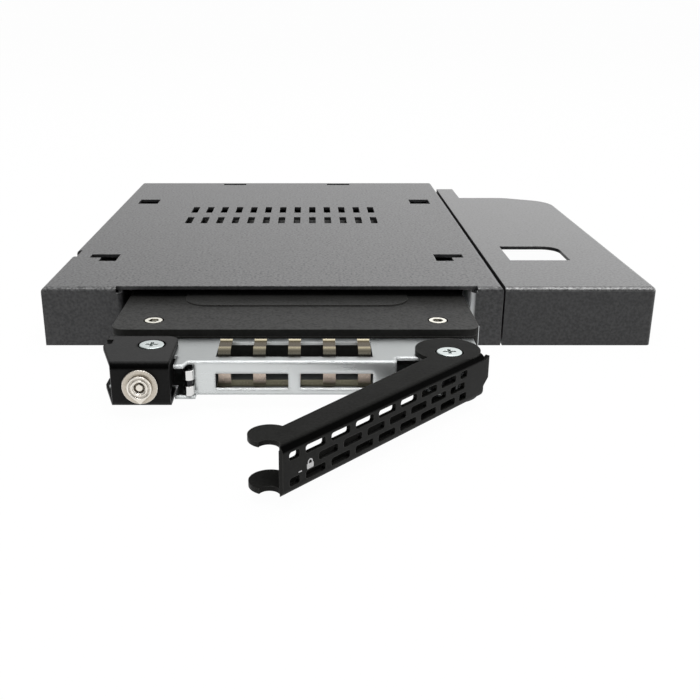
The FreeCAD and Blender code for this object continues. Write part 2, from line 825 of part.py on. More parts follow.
def make_drive_tray():
    """Folded sheet: floor, two side walls, front bar with two windows, and a top plate folded back."""
    part = new_body("drive_tray")
    slab(part, "XY", "tray_low", "tray_steel", [
        ("-tray_half", "tray_rear"),
        ("-tray_half", "wall_front"),
        ("-plate_half", "wall_front"),
        ("-plate_half", "mouth - lock_notch_reach"),
        ("-lock_notch_edge", "mouth - lock_notch_reach"),
        ("-lock_notch_edge", "mouth - tab_reach"),
        ("post_radius - post_x + nest_gap", "mouth - tab_reach"),
        ("post_radius - post_x + nest_gap", "bar_front"),
        ("bar_half", "bar_front"),
        ("bar_half", "pivot_y"),
        *boss_corners(),
        ("plate_half", "wall_front"),
        ("tray_half", "wall_front"),
        ("tray_half", "tray_rear"),
    ])
    slab(part, "XY", "tray_low", "wall_top - tray_low",
         box("-tray_half", "wall_front", "-tray_inner", "tray_rear"),
         box("tray_inner", "wall_front", "tray_half", "tray_rear"))
    slab(part, "XZ", "bar_front", "tray_steel", box("-bar_half", "tray_low", "bar_half", "plate_top"))
    slab(part, "XY", "plate_under", "tray_steel", [
        ("-plate_half", "mouth - plate_gap"),
        ("-plate_half", "mouth - lock_notch_reach"),
        ("-lock_notch_edge", "mouth - lock_notch_reach"),
        ("-lock_notch_edge", "mouth - tab_reach"),
        ("-tab_edge", "mouth - tab_reach"),
        ("-tab_edge + tab_slant", "bar_front"),
        ("bar_half", "bar_front"),
        ("bar_half", "pivot_y"),
        *boss_corners(),
        ("plate_half", "mouth - plate_gap"),
    ])
    round_edges(part, "tray_bend",
                {"x": "-tray_half", "z": "tray_low"},
                {"x": "tray_half", "z": "tray_low"})
    cut(part, "XY", "plate_under", "tray_steel",
        box("-slot_half", "mouth - slot_start - slot_length", "slot_half", "mouth - slot_start"),
        ("pivot_x", "pivot_y", "bush_radius + slide_gap"),
        ("-bracket_screw_x", "bracket_screw_y", "standoff_radius + pivot_gap"))
    cut(part, "XY", "tray_low", "tray_steel",
        ("pivot_x", "pivot_y", "spigot_radius + pivot_gap"),
        ("-post_x", "post_y", "post_neck + pivot_gap"))
    pane_low = "tray_low + pane_base"
    cut(part, "XZ", "bar_front", "tray_steel",
        box("-pane_split / 2 - pane_width", pane_low, "-pane_split / 2", pane_low + " + pane_height"),
        box("pane_split / 2", pane_low, "pane_split / 2 + pane_width", pane_low + " + pane_height"))
    holes = [("side_hole_front", "side_hole_z", "side_hole_radius + pivot_gap"),
             ("side_hole_rear", "side_hole_z", "side_hole_radius + pivot_gap")]
    sinks = [(y, z, "side_head_radius + pivot_gap") for y, z, radius in holes]
    cut(part, "YZ", "-tray_half", "tray_steel", *holes)
    cut(part, "YZ", "tray_inner", "tray_steel", *holes)
    cut(part, "YZ", "-tray_half", "side_head_height", *sinks)
    cut(part, "YZ", "tray_half - side_head_height", "side_head_height", *sinks)
    return part


def make_finger_strip():
    """Spring fingers: each stands on a foot strip, slopes up to the rear and curls down into the slot."""
    part = new_body("finger_strip")
    stem = "mouth - slot_start - slot_length + finger_sheet"
    bend_level = "plate_under - finger_dip"
    back = "mouth - finger_back"
    crown = "plate_top + finger_rise"
    thick = "finger_sheet"
    finger = slab(part, "YZ", "-finger_pitch * (finger_count - 1) / 2 - finger_width / 2", "finger_width", [
        (stem, "floor_top"),
        (stem, bend_level),
        (f"{back} - 2 * finger_curl", f"{crown} - finger_curl / 2", "finger_curl * 1.25", -1),
        (f"{back}", f"{crown} - finger_curl"),
        (back, "plate_under"),
        (f"{back} - {thick}", "plate_under"),
        (f"{back} - {thick}", f"{crown} - finger_curl", f"finger_curl * 1.25 - {thick}", 1),
        (f"{back} - 2 * finger_curl + {thick}", f"{crown} - finger_curl / 2 - {thick}"),
        (f"{stem} + {thick}", f"{bend_level} - {thick}"),
        (f"{stem} + {thick}", "floor_top"),
    ])
    repeat(part, finger, "X", "finger_pitch * (finger_count - 1)", "finger_count")
    slab(part, "XY", "floor_top", "finger_sheet",
         box("-slot_half", stem, "slot_half", stem + " + finger_foot"))
    return part


def make_lock_bracket():
    """Short channel: top plate, front face and bottom plate, with its left front corner drawn in."""
    part = new_body("lock_bracket")
    slab(part, "YZ", "-bracket_left", "bracket_left - bracket_right", [
        ("mouth - bracket_rear", "black_under"),
        ("mouth - bracket_rear", "black_top"),
        ("lock_front", "black_top"),
        ("lock_front", "black_base"),
        ("mouth - bracket_heel", "black_base"),
        ("mouth - bracket_heel", "black_floor"),
        ("lock_front + black_steel", "black_floor"),
        ("lock_front + black_steel", "black_under"),
    ])
    round_edges(part, "black_bend",
                {"y": "lock_front", "z": "black_top"},
                {"y": "lock_front", "z": "black_base"})
    cut(part, "XY", "black_base", "black_top - black_base", [
        ("-bracket_left", "mouth - bracket_taper"),
        ("-bracket_left", "lock_front"),
        ("-bracket_face_left", "lock_front"),
    ])
    slab(part, "YZ", "-bracket_right - black_steel", "black_steel", [
        ("lock_front + black_steel", "black_floor + bracket_side_slant / 2"),
        ("lock_front + bracket_side_reach", "black_floor + bracket_side_slant"),
        ("lock_front + bracket_side_reach", "black_under"),
        ("lock_front + black_steel", "black_under"),
    ])
    round_edges(part, "bracket_round", {"x": "-bracket_right", "y": "mouth - bracket_rear"})
    cut(part, "XY", "black_under", "black_steel",
        box("-bracket_left", "mouth - bracket_bite_start - bracket_bite_length",
            "-bracket_left + bracket_bite", "mouth - bracket_bite_start"))
    cut(part, "XY", "black_under", "black_steel",
        ("-bracket_screw_x", "bracket_screw_y", "machine_radius + pivot_gap"))
    cut(part, "XY", "sink_level", "head_sink",
        ("-bracket_screw_x", "bracket_screw_y", "machine_head_radius + head_ring"))
    cut(part, "XZ", "lock_front", "black_steel", ("-lock_x", "lock_level", "barrel_radius + pivot_gap"))
    return part


def make_bracket_standoff():
    part = new_body("bracket_standoff")
    slab(part, "XY", "floor_top", "black_under - floor_top",
         ("-bracket_screw_x", "bracket_screw_y", "standoff_radius"))
    cut(part, "XY", "floor_top", "black_under - floor_top",
        ("-bracket_screw_x", "bracket_screw_y", "machine_radius + thread_gap"))
    return part


def make_machine_screw(label, x, y, seat):
    """Flat-head screw with a cross recess, its head on a sunk seat."""
    part = new_body(label)
    slab(part, "XY", seat, "machine_head_height", (x, y, "machine_head_radius"))
    round_edges(part, "machine_head_height * 0.4", {"z": seat + " + machine_head_height"})
    slab(part, "XY", seat + " - machine_length", "machine_length", (x, y, "machine_radius"))
    top = seat + " + machine_head_height - recess_depth"
    long_half = "recess_length / 2"
    short_half = "recess_width / 2"
    cut(part, "XY", top, "recess_depth",
        box(f"{x} - {long_half}", f"{y} - {short_half}", f"{x} + {long_half}", f"{y} + {short_half}"))
    cut(part, "XY", top, "recess_depth",
        box(f"{x} - {short_half}", f"{y} - {long_half}", f"{x} + {short_half}", f"{y} + {long_half}"))
    return part


def make_pivot_bush():
    """Shouldered bush: it stands on the tray's floor, and its spigot carries the lever's lower ear."""
    part = new_body("pivot_bush")
    slab(part, "XY", "floor_top", "sink_level + pivot_gap - floor_top",
         ("pivot_x", "pivot_y", "bush_radius"))
    slab(part, "XY", "black_base", "floor_top - black_base", ("pivot_x", "pivot_y", "spigot_radius"))
    cut(part, "XY", "sink_level + pivot_gap - machine_length", "machine_length",
        ("pivot_x", "pivot_y", "machine_radius + thread_gap"))
    return part


def make_lock_barrel():
    part = new_body("lock_barrel")
    slab(part, "XZ", "lock_face", "lock_flange_height", ("-lock_x", "lock_level", "lock_flange_radius"))
    slab(part, "XZ", "lock_front", "barrel_length", ("-lock_x", "lock_level", "barrel_radius"))
    cut(part, "XZ", "lock_face", "lock_flange_height + barrel_length",
        ("-lock_x", "lock_level", "plug_radius + barrel_gap"))
    return part


def make_lock_nut():
    """Hexagon nut behind the bracket's face, with two flats level."""
    part = new_body("lock_nut")
    slab(part, "XZ", "lock_front + black_steel", "nut_height",
         hexagon("-lock_x", "lock_level", "nut_flats"))
    cut(part, "XZ", "lock_front + black_steel", "nut_height",
        ("-lock_x", "lock_level", "barrel_radius + thread_gap"))
    return part


def make_lock_plug():
    """Turning plug: a sunk dial with a rim and a pointer, a ring about the groove for a tubular key, a
    shaft and a cam pin."""
    part = new_body("lock_plug")
    dial = "lock_face - barrel_gap - dial_height"
    slab(part, "XZ", dial, "dial_height", ("-lock_x", "lock_level", "dial_radius"))
    slab(part, "XZ", dial, "dial_height", [
        ("-lock_x - pointer_half", "lock_level - dial_radius * 0.72"),
        ("-lock_x", "lock_level - pointer_reach"),
        ("-lock_x + pointer_half", "lock_level - dial_radius * 0.72"),
    ])
    slab(part, "XZ", "lock_face - barrel_gap", "barrel_back - lock_face + barrel_gap + cam_gap",
         ("-lock_x", "lock_level", "plug_radius"))
    slab(part, "XZ", "cam_front", "cam_height", ("-lock_x", "lock_level", "cam_pin_radius"))
    cut(part, "XZ", dial, "dial_sink", ("-lock_x", "lock_level", "dial_radius - dial_rim"))
    slab(part, "XZ", dial, "dial_sink",
         ("-lock_x", "lock_level", "dial_ring_outer"), ("-lock_x", "lock_level", "dial_ring_inner"))
    cut(part, "XZ", f"{dial} + dial_sink", "key_ring_depth",
        ("-lock_x", "lock_level", "key_ring_outer"), ("-lock_x", "lock_level", "key_ring_inner"))
    return part


def make_lock_cam():
    """Hub and short arm on the end of the plug."""
    part = new_body("lock_cam")
    slab(part, "XZ", "cam_front", "cam_height", ("-lock_x", "lock_level", "cam_hub"))
    slab(part, "XZ", "cam_front", "cam_height",
         box("-lock_x - cam_width / 2", "lock_level - cam_reach", "-lock_x + cam_width / 2", "lock_level"))
    cut(part, "XZ", "cam_front", "cam_height", ("-lock_x", "lock_level", "cam_pin_radius + thread_gap"))
    return part


def make_cam_screw():
    part = new_body("cam_screw")
    slab(part, "XZ", "cam_back", "cam_screw_height", ("-lock_x", "lock_level", "cam_screw_radius"))
    return part


def make_latch_post():
    """Turned post with two collars, its lower pin set in the tray's floor."""
    part = new_body("latch_post")
    slab(part, "XY", "tray_low", "tray_steel", ("-post_x", "post_y", "post_neck"))
    slab(part, "XY", "floor_top", "post_collar", ("-post_x", "post_y", "post_radius"))
    slab(part, "XY", "floor_top + post_collar", "post_waist", ("-post_x", "post_y", "post_neck"))
    slab(part, "XY", "floor_top + post_collar + post_waist", "post_collar",
         ("-post_x", "post_y", "post_radius"))
    return part


def make_lever():
    """Channel with its open side to the tray, modelled shut about its pivot and then swung open.
    Its free end has a round lobe and a hook notch on both flanges."""
    part = new_body("lever")
    web = "-web_reach"
    slab(part, "YZ", "-lever_length", "lever_length + lever_tail", [
        ("flange_root - web_reach", "black_under"),
        ("flange_root - web_reach", "black_top"),
        (web, "black_top"),
        (web, "black_base"),
        ("flange_root - web_reach", "black_base"),
        ("flange_root - web_reach", "black_floor"),
        (web + " + black_steel", "black_floor"),
        (web + " + black_steel", "black_under"),
    ])
    round_edges(part, "black_bend", {"y": web, "z": "black_top"}, {"y": web, "z": "black_base"})
    cut(part, "XY", "black_base", "black_top - black_base", [
        ("-lever_length", "flange_end - web_reach"),
        ("-ear_radius", "flange_root - web_reach"),
        ("-lever_length", "flange_root - web_reach"),
    ])
    slab(part, "XZ", web, "black_steel", [
        ("lever_tail", "black_floor + black_bend"),
        ("claw_reach", "black_floor + 2 * black_bend"),
        ("claw_reach", "black_top - black_bend / 2"),
        ("lever_tail", "black_top - black_bend"),
    ])
    for level in ("black_under", "black_base"):
        slab(part, "XY", level, "black_steel", ("ear_shift", "ear_shift", "ear_radius"))
        slab(part, "XY", level, "black_steel", ("-lobe_x", "-lobe_y", "lobe_radius"))
        cut(part, "XY", level, "black_steel", ("-hook_x", "-hook_y", "hook_radius"))
    cut(part, "XY", "black_under", "black_steel", ("0", "0", "bush_radius + pivot_gap"))
    cut(part, "XY", "sink_level", "head_sink", ("0", "0", "machine_head_radius + head_ring"))
    cut(part, "XY", "black_base", "black_steel", ("0", "0", "spigot_radius + pivot_gap"))
    middle = "(black_top + black_base) / 2"
    first = "brick_start - lever_length"
    half = "brick_length / 2"
    bricks = []
    for row, shift in ((-1, "0"), (0, "brick_pitch / 2"), (1, "0")):
        low = f"{middle} + {row} * brick_row_pitch - brick_height / 2"
        start = f"{first} + {shift}"
        high = low + " + brick_height"
        bricks.append(rounded_box(start, low, start + " + brick_length", high, "brick_round"))
    full = cut(part, "XZ", web, "black_steel", *bricks)
    repeat(part, full, "X", "brick_pitch * (brick_count - 1)", "brick_count")
    ends = []
    for row in (-1, 1):
        low = f"{middle} + {row} * brick_row_pitch - brick_height / 2"
        before = f"{first} - brick_pitch + brick_length"
        after = f"{first} + brick_pitch * brick_count"
        ends.append(rounded_box(f"{before} - {half}", low, before, low + " + brick_height", "brick_round"))
        ends.append(rounded_box(after, low, f"{after} + {half}", low + " + brick_height", "brick_round"))
    cut(part, "XZ", web, "black_steel", *ends)
    part.Placement = FreeCAD.Placement(FreeCAD.Vector(), FreeCAD.Rotation(FreeCAD.Vector(0, 0, 1), 1))
    part.setExpression("Placement.Base.x", bound("pivot_x"))
    part.setExpression("Placement.Base.y", bound("pivot_y"))
    part.setExpression("Placement.Rotation.Angle", bound("lever_angle_deg") + " * 1 deg")
    return part


# Drive


def lid_screw_places():
    across = "half_drive - lid_screw_side"
    return [(f"{sign}({across})", y) for sign in ("", "-")
            for y in ("drive_front + lid_screw_inset", "drive_rear - lid_screw_inset - plug_depth")]


def make_drive_base():
    """Tray-shaped lower case with posts for the lid's screws and an opening for the plug."""
    part = new_body("drive_base")
    slab(part, "XY", "floor_top", "drive_seam - floor_top",
         rounded_box("-half_drive", "drive_front", "half_drive", "drive_rear", "drive_corner"))
    cut(part, "XY", "floor_top + drive_wall", "drive_seam - floor_top - drive_wall",
        rounded_box("-half_drive + drive_wall", "drive_front + drive_wall", "half_drive - drive_wall",
                    "drive_rear - drive_wall", "drive_corner - drive_wall"))
    slab(part, "XY", "floor_top + drive_wall", "drive_seam - floor_top - drive_wall",
         *[(x, y, "lid_post_radius") for x, y in lid_screw_places()])
    cut(part, "XY", "floor_top + drive_wall", "drive_seam - floor_top - drive_wall",
        *[(x, y, "screw_bore") for x, y in lid_screw_places()])
    cut(part, "XZ", "drive_rear - drive_wall", "drive_wall",
        box("-socket_offset - plug_opening / 2", "floor_top + drive_wall",
            "-socket_offset + plug_opening / 2", "drive_seam"))
    holes = [("side_hole_front", "side_hole_z", "side_hole_radius + pivot_gap"),
             ("side_hole_rear", "side_hole_z", "side_hole_radius + pivot_gap")]
    cut(part, "YZ", "-half_drive", "drive_wall", *holes)
    cut(part, "YZ", "half_drive - drive_wall", "drive_wall", *holes)
    return part


def make_drive_lid():
    """Flat lid with a slightly raised panel and four sunk screw seats."""
    part = new_body("drive_lid")
    slab(part, "XY", "drive_seam", "lid_thickness",
         rounded_box("-half_drive", "drive_front", "half_drive", "drive_rear", "drive_corner"))
    slab(part, "XY", "drive_top", "panel_rise",
         rounded_box("-panel_width / 2", "drive_front + panel_start", "panel_width / 2",
                     "drive_front + panel_start + panel_length", "panel_corner"))
    cut(part, "XY", "drive_seam", "lid_thickness", *[(x, y, "screw_bore") for x, y in lid_screw_places()])
    cut(part, "XY", "drive_top - lid_head_height", "lid_head_height",
        *[(x, y, "small_head_radius + lid_head_gap") for x, y in lid_screw_places()])
    return part


def make_drive_lid_screws():
    part = new_body("drive_lid_screws")
    slab(part, "XY", "drive_top - lid_head_height", "lid_head_height",
         *[(x, y, "small_head_radius") for x, y in lid_screw_places()])
    slab(part, "XY", "drive_top - lid_head_height - small_screw_length", "small_screw_length",
         *[(x, y, "thread_radius") for x, y in lid_screw_places()])
    cut(part, "XY", "drive_top - hex_depth", "hex_depth",
        *[hexagon(x, y, "hex_flats") for x, y in lid_screw_places()])
    return part


def make_drive_board():
    part = new_body("drive_board")
    back = "drive_rear - plug_depth - plug_block"
    slab(part, "XY", "floor_top + drive_wall + nest_gap", "drive_board_thickness",
         box("-drive_board_width / 2", back + " - drive_board_length", "drive_board_width / 2", back))
    return part


def make_drive_plug():
    """Block at the end of the drive's board with a flat contact tongue that points to the rear."""
    part = new_body("drive_plug")
    slab(part, "XZ", "drive_rear - plug_depth - plug_block", "plug_block",
         box("-socket_offset - tongue_length / 2 - drive_wall", "floor_top + drive_wall + nest_gap",
             "-socket_offset + tongue_length / 2 + drive_wall", "plug_level + tongue_thickness"))
    slab(part, "XZ", "drive_rear - plug_depth", "plug_depth - drive_wall / 2",
         box("-socket_offset - tongue_length / 2", "plug_level - tongue_thickness / 2",
             "-socket_offset + tongue_length / 2", "plug_level + tongue_thickness / 2"))
    return part


def make_drive_side_screws():
    part = new_body("drive_side_screws")
    places = [("side_hole_front", "side_hole_z"), ("side_hole_rear", "side_hole_z")]
    heads = [(y, z, "side_head_radius") for y, z in places]
    shanks = [(y, z, "side_hole_radius") for y, z in places]
    slab(part, "YZ", "-tray_half", "side_head_height", *heads)
    slab(part, "YZ", "-tray_half + side_head_height", "side_screw_reach", *shanks)
    slab(part, "YZ", "tray_half - side_head_height", "side_head_height", *heads)
    slab(part, "YZ", "tray_half - side_head_height - side_screw_reach", "side_screw_reach", *shanks)
    return part


def make_all():
    fill_sheet()
    return [
        make_top_cover(),
        make_base_pan(),
        make_rail("left_rail", "-"),
        make_rail("right_rail", ""),
        make_wing_cover(),
        make_cover_screws(),
        make_wing_screws(),
        make_backplane_board(),
        make_board_screws(),
        make_drive_socket(),
        make_host_connector(),
        make_drive_tray(),
        make_finger_strip(),
        make_lock_bracket(),
        make_bracket_standoff(),
        make_machine_screw("bracket_screw", "-bracket_screw_x", "bracket_screw_y", "sink_level"),
        make_pivot_bush(),
        make_machine_screw("pivot_screw", "pivot_x", "pivot_y", "sink_level + pivot_gap"),
        make_lock_barrel(),
        make_lock_nut(),
        make_lock_plug(),
        make_lock_cam(),
        make_cam_screw(),
        make_latch_post(),
        make_lever(),
        make_drive_base(),
        make_drive_lid(),
        make_drive_lid_screws(),
        make_drive_board(),
        make_drive_plug(),
        make_drive_side_screws(),
    ]


def check_all(parts):
    """Stop on a failed feature, an empty or broken shape, or a pocket that cuts nothing."""
    doc.recompute()
    for item in doc.Objects:
        if "Invalid" in item.State or "Error" in item.State:
            raise RuntimeError(f"{item.Name} failed: {item.State}")
        if item.TypeId == "PartDesign::Pocket":
            if item.Shape.isNull() or item.Shape.Volume >= item.BaseFeature.Shape.Volume - 1e-6:
                raise RuntimeError(f"{item.Name} cuts nothing")
    for part in parts:
        if part.Shape.isNull() or not part.Shape.isValid():
            raise RuntimeError(f"{part.Label} has no valid shape")


def write_all(parts):
    os.makedirs("parts", exist_ok=True)
    for part in parts:
        part.Shape.exportStep(f"parts/{part.Label}.step")
        print(part.Label, len(part.Shape.Solids), round(part.Shape.Volume, 2))


rack_parts = make_all()
check_all(rack_parts)
write_all(rack_parts)
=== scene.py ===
# %% [markdown]
# This lesson dresses a slim mobile rack: a flat steel box for the bay of an optical drive, with a tray
# for one 2.5-inch drive, a black swing lever and a small key lock. The solids come from the frame, and
# they already have their places. They could be redrawn by hand, but a folded sheet is exact in the
# frame, so here they keep their shape and get real finishes, and only prints and fine parts are added.

# %% Load the frame
import json
import math

import bpy
import numpy as np
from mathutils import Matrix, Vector


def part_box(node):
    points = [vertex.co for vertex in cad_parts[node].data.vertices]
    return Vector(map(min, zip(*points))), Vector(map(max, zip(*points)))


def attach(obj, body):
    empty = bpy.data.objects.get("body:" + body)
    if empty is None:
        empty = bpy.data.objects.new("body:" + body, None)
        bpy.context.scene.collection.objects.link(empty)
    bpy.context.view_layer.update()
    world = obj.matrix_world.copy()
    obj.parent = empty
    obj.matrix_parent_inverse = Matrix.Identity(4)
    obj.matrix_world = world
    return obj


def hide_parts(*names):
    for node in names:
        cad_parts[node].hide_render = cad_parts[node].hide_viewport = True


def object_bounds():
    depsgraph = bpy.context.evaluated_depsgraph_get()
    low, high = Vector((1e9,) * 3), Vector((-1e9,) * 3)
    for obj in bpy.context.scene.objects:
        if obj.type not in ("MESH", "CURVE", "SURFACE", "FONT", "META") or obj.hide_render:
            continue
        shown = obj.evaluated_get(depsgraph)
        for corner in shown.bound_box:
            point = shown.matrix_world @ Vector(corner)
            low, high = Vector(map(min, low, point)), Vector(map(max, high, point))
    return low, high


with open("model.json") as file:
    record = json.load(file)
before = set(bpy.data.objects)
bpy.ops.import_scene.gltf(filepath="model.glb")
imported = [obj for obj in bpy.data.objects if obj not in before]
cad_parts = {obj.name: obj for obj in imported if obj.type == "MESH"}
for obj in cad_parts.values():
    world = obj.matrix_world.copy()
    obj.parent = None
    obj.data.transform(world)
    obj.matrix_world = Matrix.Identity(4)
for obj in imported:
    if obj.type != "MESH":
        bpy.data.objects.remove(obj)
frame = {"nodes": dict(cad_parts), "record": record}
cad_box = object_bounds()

MM = 0.001
scene = bpy.context.scene
scene.view_settings.view_transform = "Standard"
print("nodes:", len(frame["nodes"]), "box:", cad_box)

# %% [markdown]
# Colours are written as they look on a screen, in sRGB hex. A shader works in linear light, so one
# function turns the one into the other. Nodes are added by one function too: settings go to the node
# itself, and each input is either a number or the output of another node, which is linked.

# %% Colour and node helpers
def linear(text):
    """sRGB hex to linear: up to 0.04045 divide by 12.92, above it ((c + 0.055) / 1.055) ** 2.4."""
    parts = [int(text[k:k + 2], 16) / 255 for k in (1, 3, 5)]
    light = [c / 12.92 if c <= 0.04045 else ((c + 0.055) / 1.055) ** 2.4 for c in parts]
    return (*light, 1.0)


def add(tree, kind, inputs=None, **settings):
    """Add one node, set its own settings, and set or link its inputs by name or number."""
    made = tree.nodes.new(kind)
    for name, value in settings.items():
        setattr(made, name, value)
    for socket, value in (inputs or {}).items():
        if isinstance(value, bpy.types.NodeSocket):
            tree.links.new(value, made.inputs[socket])
        else:
            made.inputs[socket].default_value = value
    return made


def new_material(name):
    """Material with an empty tree, its output node and the object coordinates, in metres."""
    material = bpy.data.materials.new(name)
    material.use_nodes = True
    tree = material.node_tree
    tree.nodes.clear()
    output = add(tree, "ShaderNodeOutputMaterial")
    place = add(tree, "ShaderNodeTexCoord").outputs["Object"]
    return material, tree, output, place


def dress(material, *names):
    """Put a material on every slot of the named solids."""
    for name in names:
        solid = frame["nodes"][name]
        if not solid.data.materials:
            solid.data.materials.append(material)
        for slot in solid.material_slots:
            slot.material = material


print("a mid grey in linear light: %.3f" % linear("#808080")[0])

# %% [markdown]
# The camera comes first, because every other choice is judged through it. The picture was put together
# from two views, one for the box and one a little steeper for the tray, so no single camera matches
# both. This one lies between them: level, straight on, and pitched down by about twenty degrees.

# %% Camera
CAMERA_AT = Vector((2.9, -246.9, 66.6)) * MM
CAMERA_PITCH = 20.1
SENSOR_MM = 36.0
FOCAL_PIXELS = 927.0
FRAME_PIXELS = 700.0
AXIS_PIXEL = 310.7
NEAR_CLIP = 5 * MM

eye = bpy.data.cameras.new("camera")
eye.sensor_width = SENSOR_MM
eye.lens = FOCAL_PIXELS * SENSOR_MM / FRAME_PIXELS
eye.shift_x = (FRAME_PIXELS / 2 - AXIS_PIXEL) / FRAME_PIXELS
eye.clip_start = NEAR_CLIP
camera = bpy.data.objects.new("camera", eye)
camera.location = CAMERA_AT
camera.rotation_euler = (math.radians(90 - CAMERA_PITCH), 0, 0)
scene.collection.objects.link(camera)
scene.camera = camera
print("lens %.1f mm, shift %.3f" % (eye.lens, eye.shift_x))

# %% [markdown]
# The studio is a white room. Painted sheet looks much brighter from above than from the front because
# it mirrors the white wall behind it at a low angle, so the world is white to the camera, bright in
# mirrors and softer as plain light. In mirrors the wall grows brighter to the back and to the right, and
# a dark screen hangs high in front. A picture of a real room could light the scene too, but a wall that
# is worked out from the direction has no spots of its own.

# %% White room
WALL_SEEN = 0.985
BACK_GAIN = 0.45
SIDE_GAIN = 0.9
ROOM_LIGHT = 0.42
SCREEN_TONE = 0.12
SCREEN_FRONT = (-0.45, -0.7)
SCREEN_ABOVE = (0.12, 0.3)


def looking_rays(tree):
    """Share of camera rays, and of all rays that look at a thing: camera and mirror rays."""
    path = add(tree, "ShaderNodeLightPath")
    seen = path.outputs["Is Camera Ray"]
    looked = add(tree, "ShaderNodeMath", {0: seen, 1: path.outputs["Is Glossy Ray"]}, operation="MAXIMUM")
    return seen, looked.outputs[0]


def studio_world(name):
    """Strength by direction: 1, plus a gain times Y, plus a gain times X, and the screen's tone where the
    direction goes to the front and up."""
    world = bpy.data.worlds.new(name)
    scene.world = world
    world.use_nodes = True
    tree = world.node_tree
    tree.nodes.clear()
    seen, looked = looking_rays(tree)
    way = add(tree, "ShaderNodeSeparateXYZ", {0: add(tree, "ShaderNodeTexCoord").outputs["Generated"]})
    back = add(tree, "ShaderNodeMath", {0: way.outputs["Y"], 1: BACK_GAIN, 2: 1.0},
               operation="MULTIPLY_ADD")
    wall = add(tree, "ShaderNodeMath", {0: way.outputs["X"], 1: SIDE_GAIN, 2: back.outputs[0]},
               operation="MULTIPLY_ADD")
    front = add(tree, "ShaderNodeMapRange", {"Value": way.outputs["Y"], "From Min": SCREEN_FRONT[0],
                                             "From Max": SCREEN_FRONT[1]})
    above = add(tree, "ShaderNodeMapRange", {"Value": way.outputs["Z"], "From Min": SCREEN_ABOVE[0],
                                             "From Max": SCREEN_ABOVE[1]})
    screen = add(tree, "ShaderNodeMath", {0: front.outputs[0], 1: above.outputs[0]}, operation="MULTIPLY")
    wall = add(tree, "ShaderNodeMix", {"Factor": screen.outputs[0], "A": wall.outputs[0], "B": SCREEN_TONE})
    wall = add(tree, "ShaderNodeMix", {"Factor": seen, "A": wall.outputs[0], "B": WALL_SEEN})
    level = add(tree, "ShaderNodeMix", {"Factor": looked, "A": ROOM_LIGHT, "B": wall.outputs[0]})
    glow = add(tree, "ShaderNodeBackground", {"Color": linear("#FFFFFF"), "Strength": level.outputs[0]})
    add(tree, "ShaderNodeOutputWorld", {"Surface": glow.outputs[0]})


studio_world("white_room")
print("world:", scene.world.name)

# %% [markdown]
# The floor is matt paper. Plain paper comes out grey under soft lamps, so most of the light that the eye
# gets from it is a glow of its own, less of it in mirrors, and the small rest of real paper keeps a faint
# shadow. A shadow could be added to the picture afterwards, but here it follows the part in every pose.

# %% Paper floor
FLOOR_GAP = 0.2
FLOOR_REACH = 6000.0
GLOW_SEEN = 0.975
GLOW_MIRRORED = 0.72
QUAD = np.array([(0, 1, 2, 3)])


def new_piece(name, points, faces):
    """Object at the origin, unturned, from arrays of points in millimetres and of faces."""
    mesh = bpy.data.meshes.new(name)
    mesh.from_pydata((points * MM).tolist(), [], faces.tolist())
    piece = bpy.data.objects.new(name, mesh)
    scene.collection.objects.link(piece)
    return piece


def matt_paper(name):
    """Diffuse paper, mixed with its glow by the share that each kind of looking ray gets."""
    material, tree, output, _ = new_material(name)
    seen, looked = looking_rays(tree)
    share = add(tree, "ShaderNodeMix", {"Factor": seen, "A": GLOW_MIRRORED, "B": GLOW_SEEN})
    share = add(tree, "ShaderNodeMath", {0: looked, 1: share.outputs[0]}, operation="MULTIPLY")
    paper = add(tree, "ShaderNodeBsdfDiffuse", {"Color": linear("#F4F4F4")})
    glow = add(tree, "ShaderNodeEmission", {"Color": linear("#FFFFFF"), "Strength": 1.0})
    mixed = add(tree, "ShaderNodeMixShader", {0: share.outputs[0], 1: paper.outputs[0], 2: glow.outputs[0]})
    tree.links.new(mixed.outputs[0], output.inputs["Surface"])
    return material


sheet_xy = FLOOR_REACH * np.array([(-1, -1), (1, -1), (1, 1), (-1, 1)])
sheet_z = np.full(4, cad_box[0][2] / MM - FLOOR_GAP)
floor = new_piece("floor", np.column_stack([sheet_xy, sheet_z]), QUAD)
floor.data.materials.append(matt_paper("white_paper_matt"))
print("floor %.1f mm under the rack" % FLOOR_GAP)

# %% [markdown]
# Three soft boxes light the rack, as a product photographer would hang them: a large one overhead, a weak
# one from the front left, and a narrow strip over the bar, which gives the bright metal its long glint.
# One strong lamp would do for the brightness, but it would throw hard shadows into the lever's slots.

# %% Soft lamps
LAMPS = {  # place, aim, width, depth, all in metres, and watts
    "top_softbox": ((0.1, 0.1, 0.9), (0, -0.02, 0), 0.9, 0.9, 5.0),
    "front_softbox": ((-0.35, -0.8, 0.45), (0, -0.09, 0), 0.5, 0.5, 0.7),
    "strip_softbox": ((0, -0.35, 0.7), (0, -0.09, 0), 0.7, 0.2, 2.2),
}
for lamp_name, (at, aim, wide, deep, watts) in LAMPS.items():
    lamp = bpy.data.lights.new(lamp_name, "AREA")
    lamp.shape = "RECTANGLE"
    lamp.size = wide
    lamp.size_y = deep
    lamp.energy = watts
    holder = bpy.data.objects.new(lamp_name, lamp)
    holder.location = at
    holder.rotation_euler = (Vector(aim) - Vector(at)).to_track_quat("-Z", "Y").to_euler()
    scene.collection.objects.link(holder)
print("lamps:", ", ".join(LAMPS))

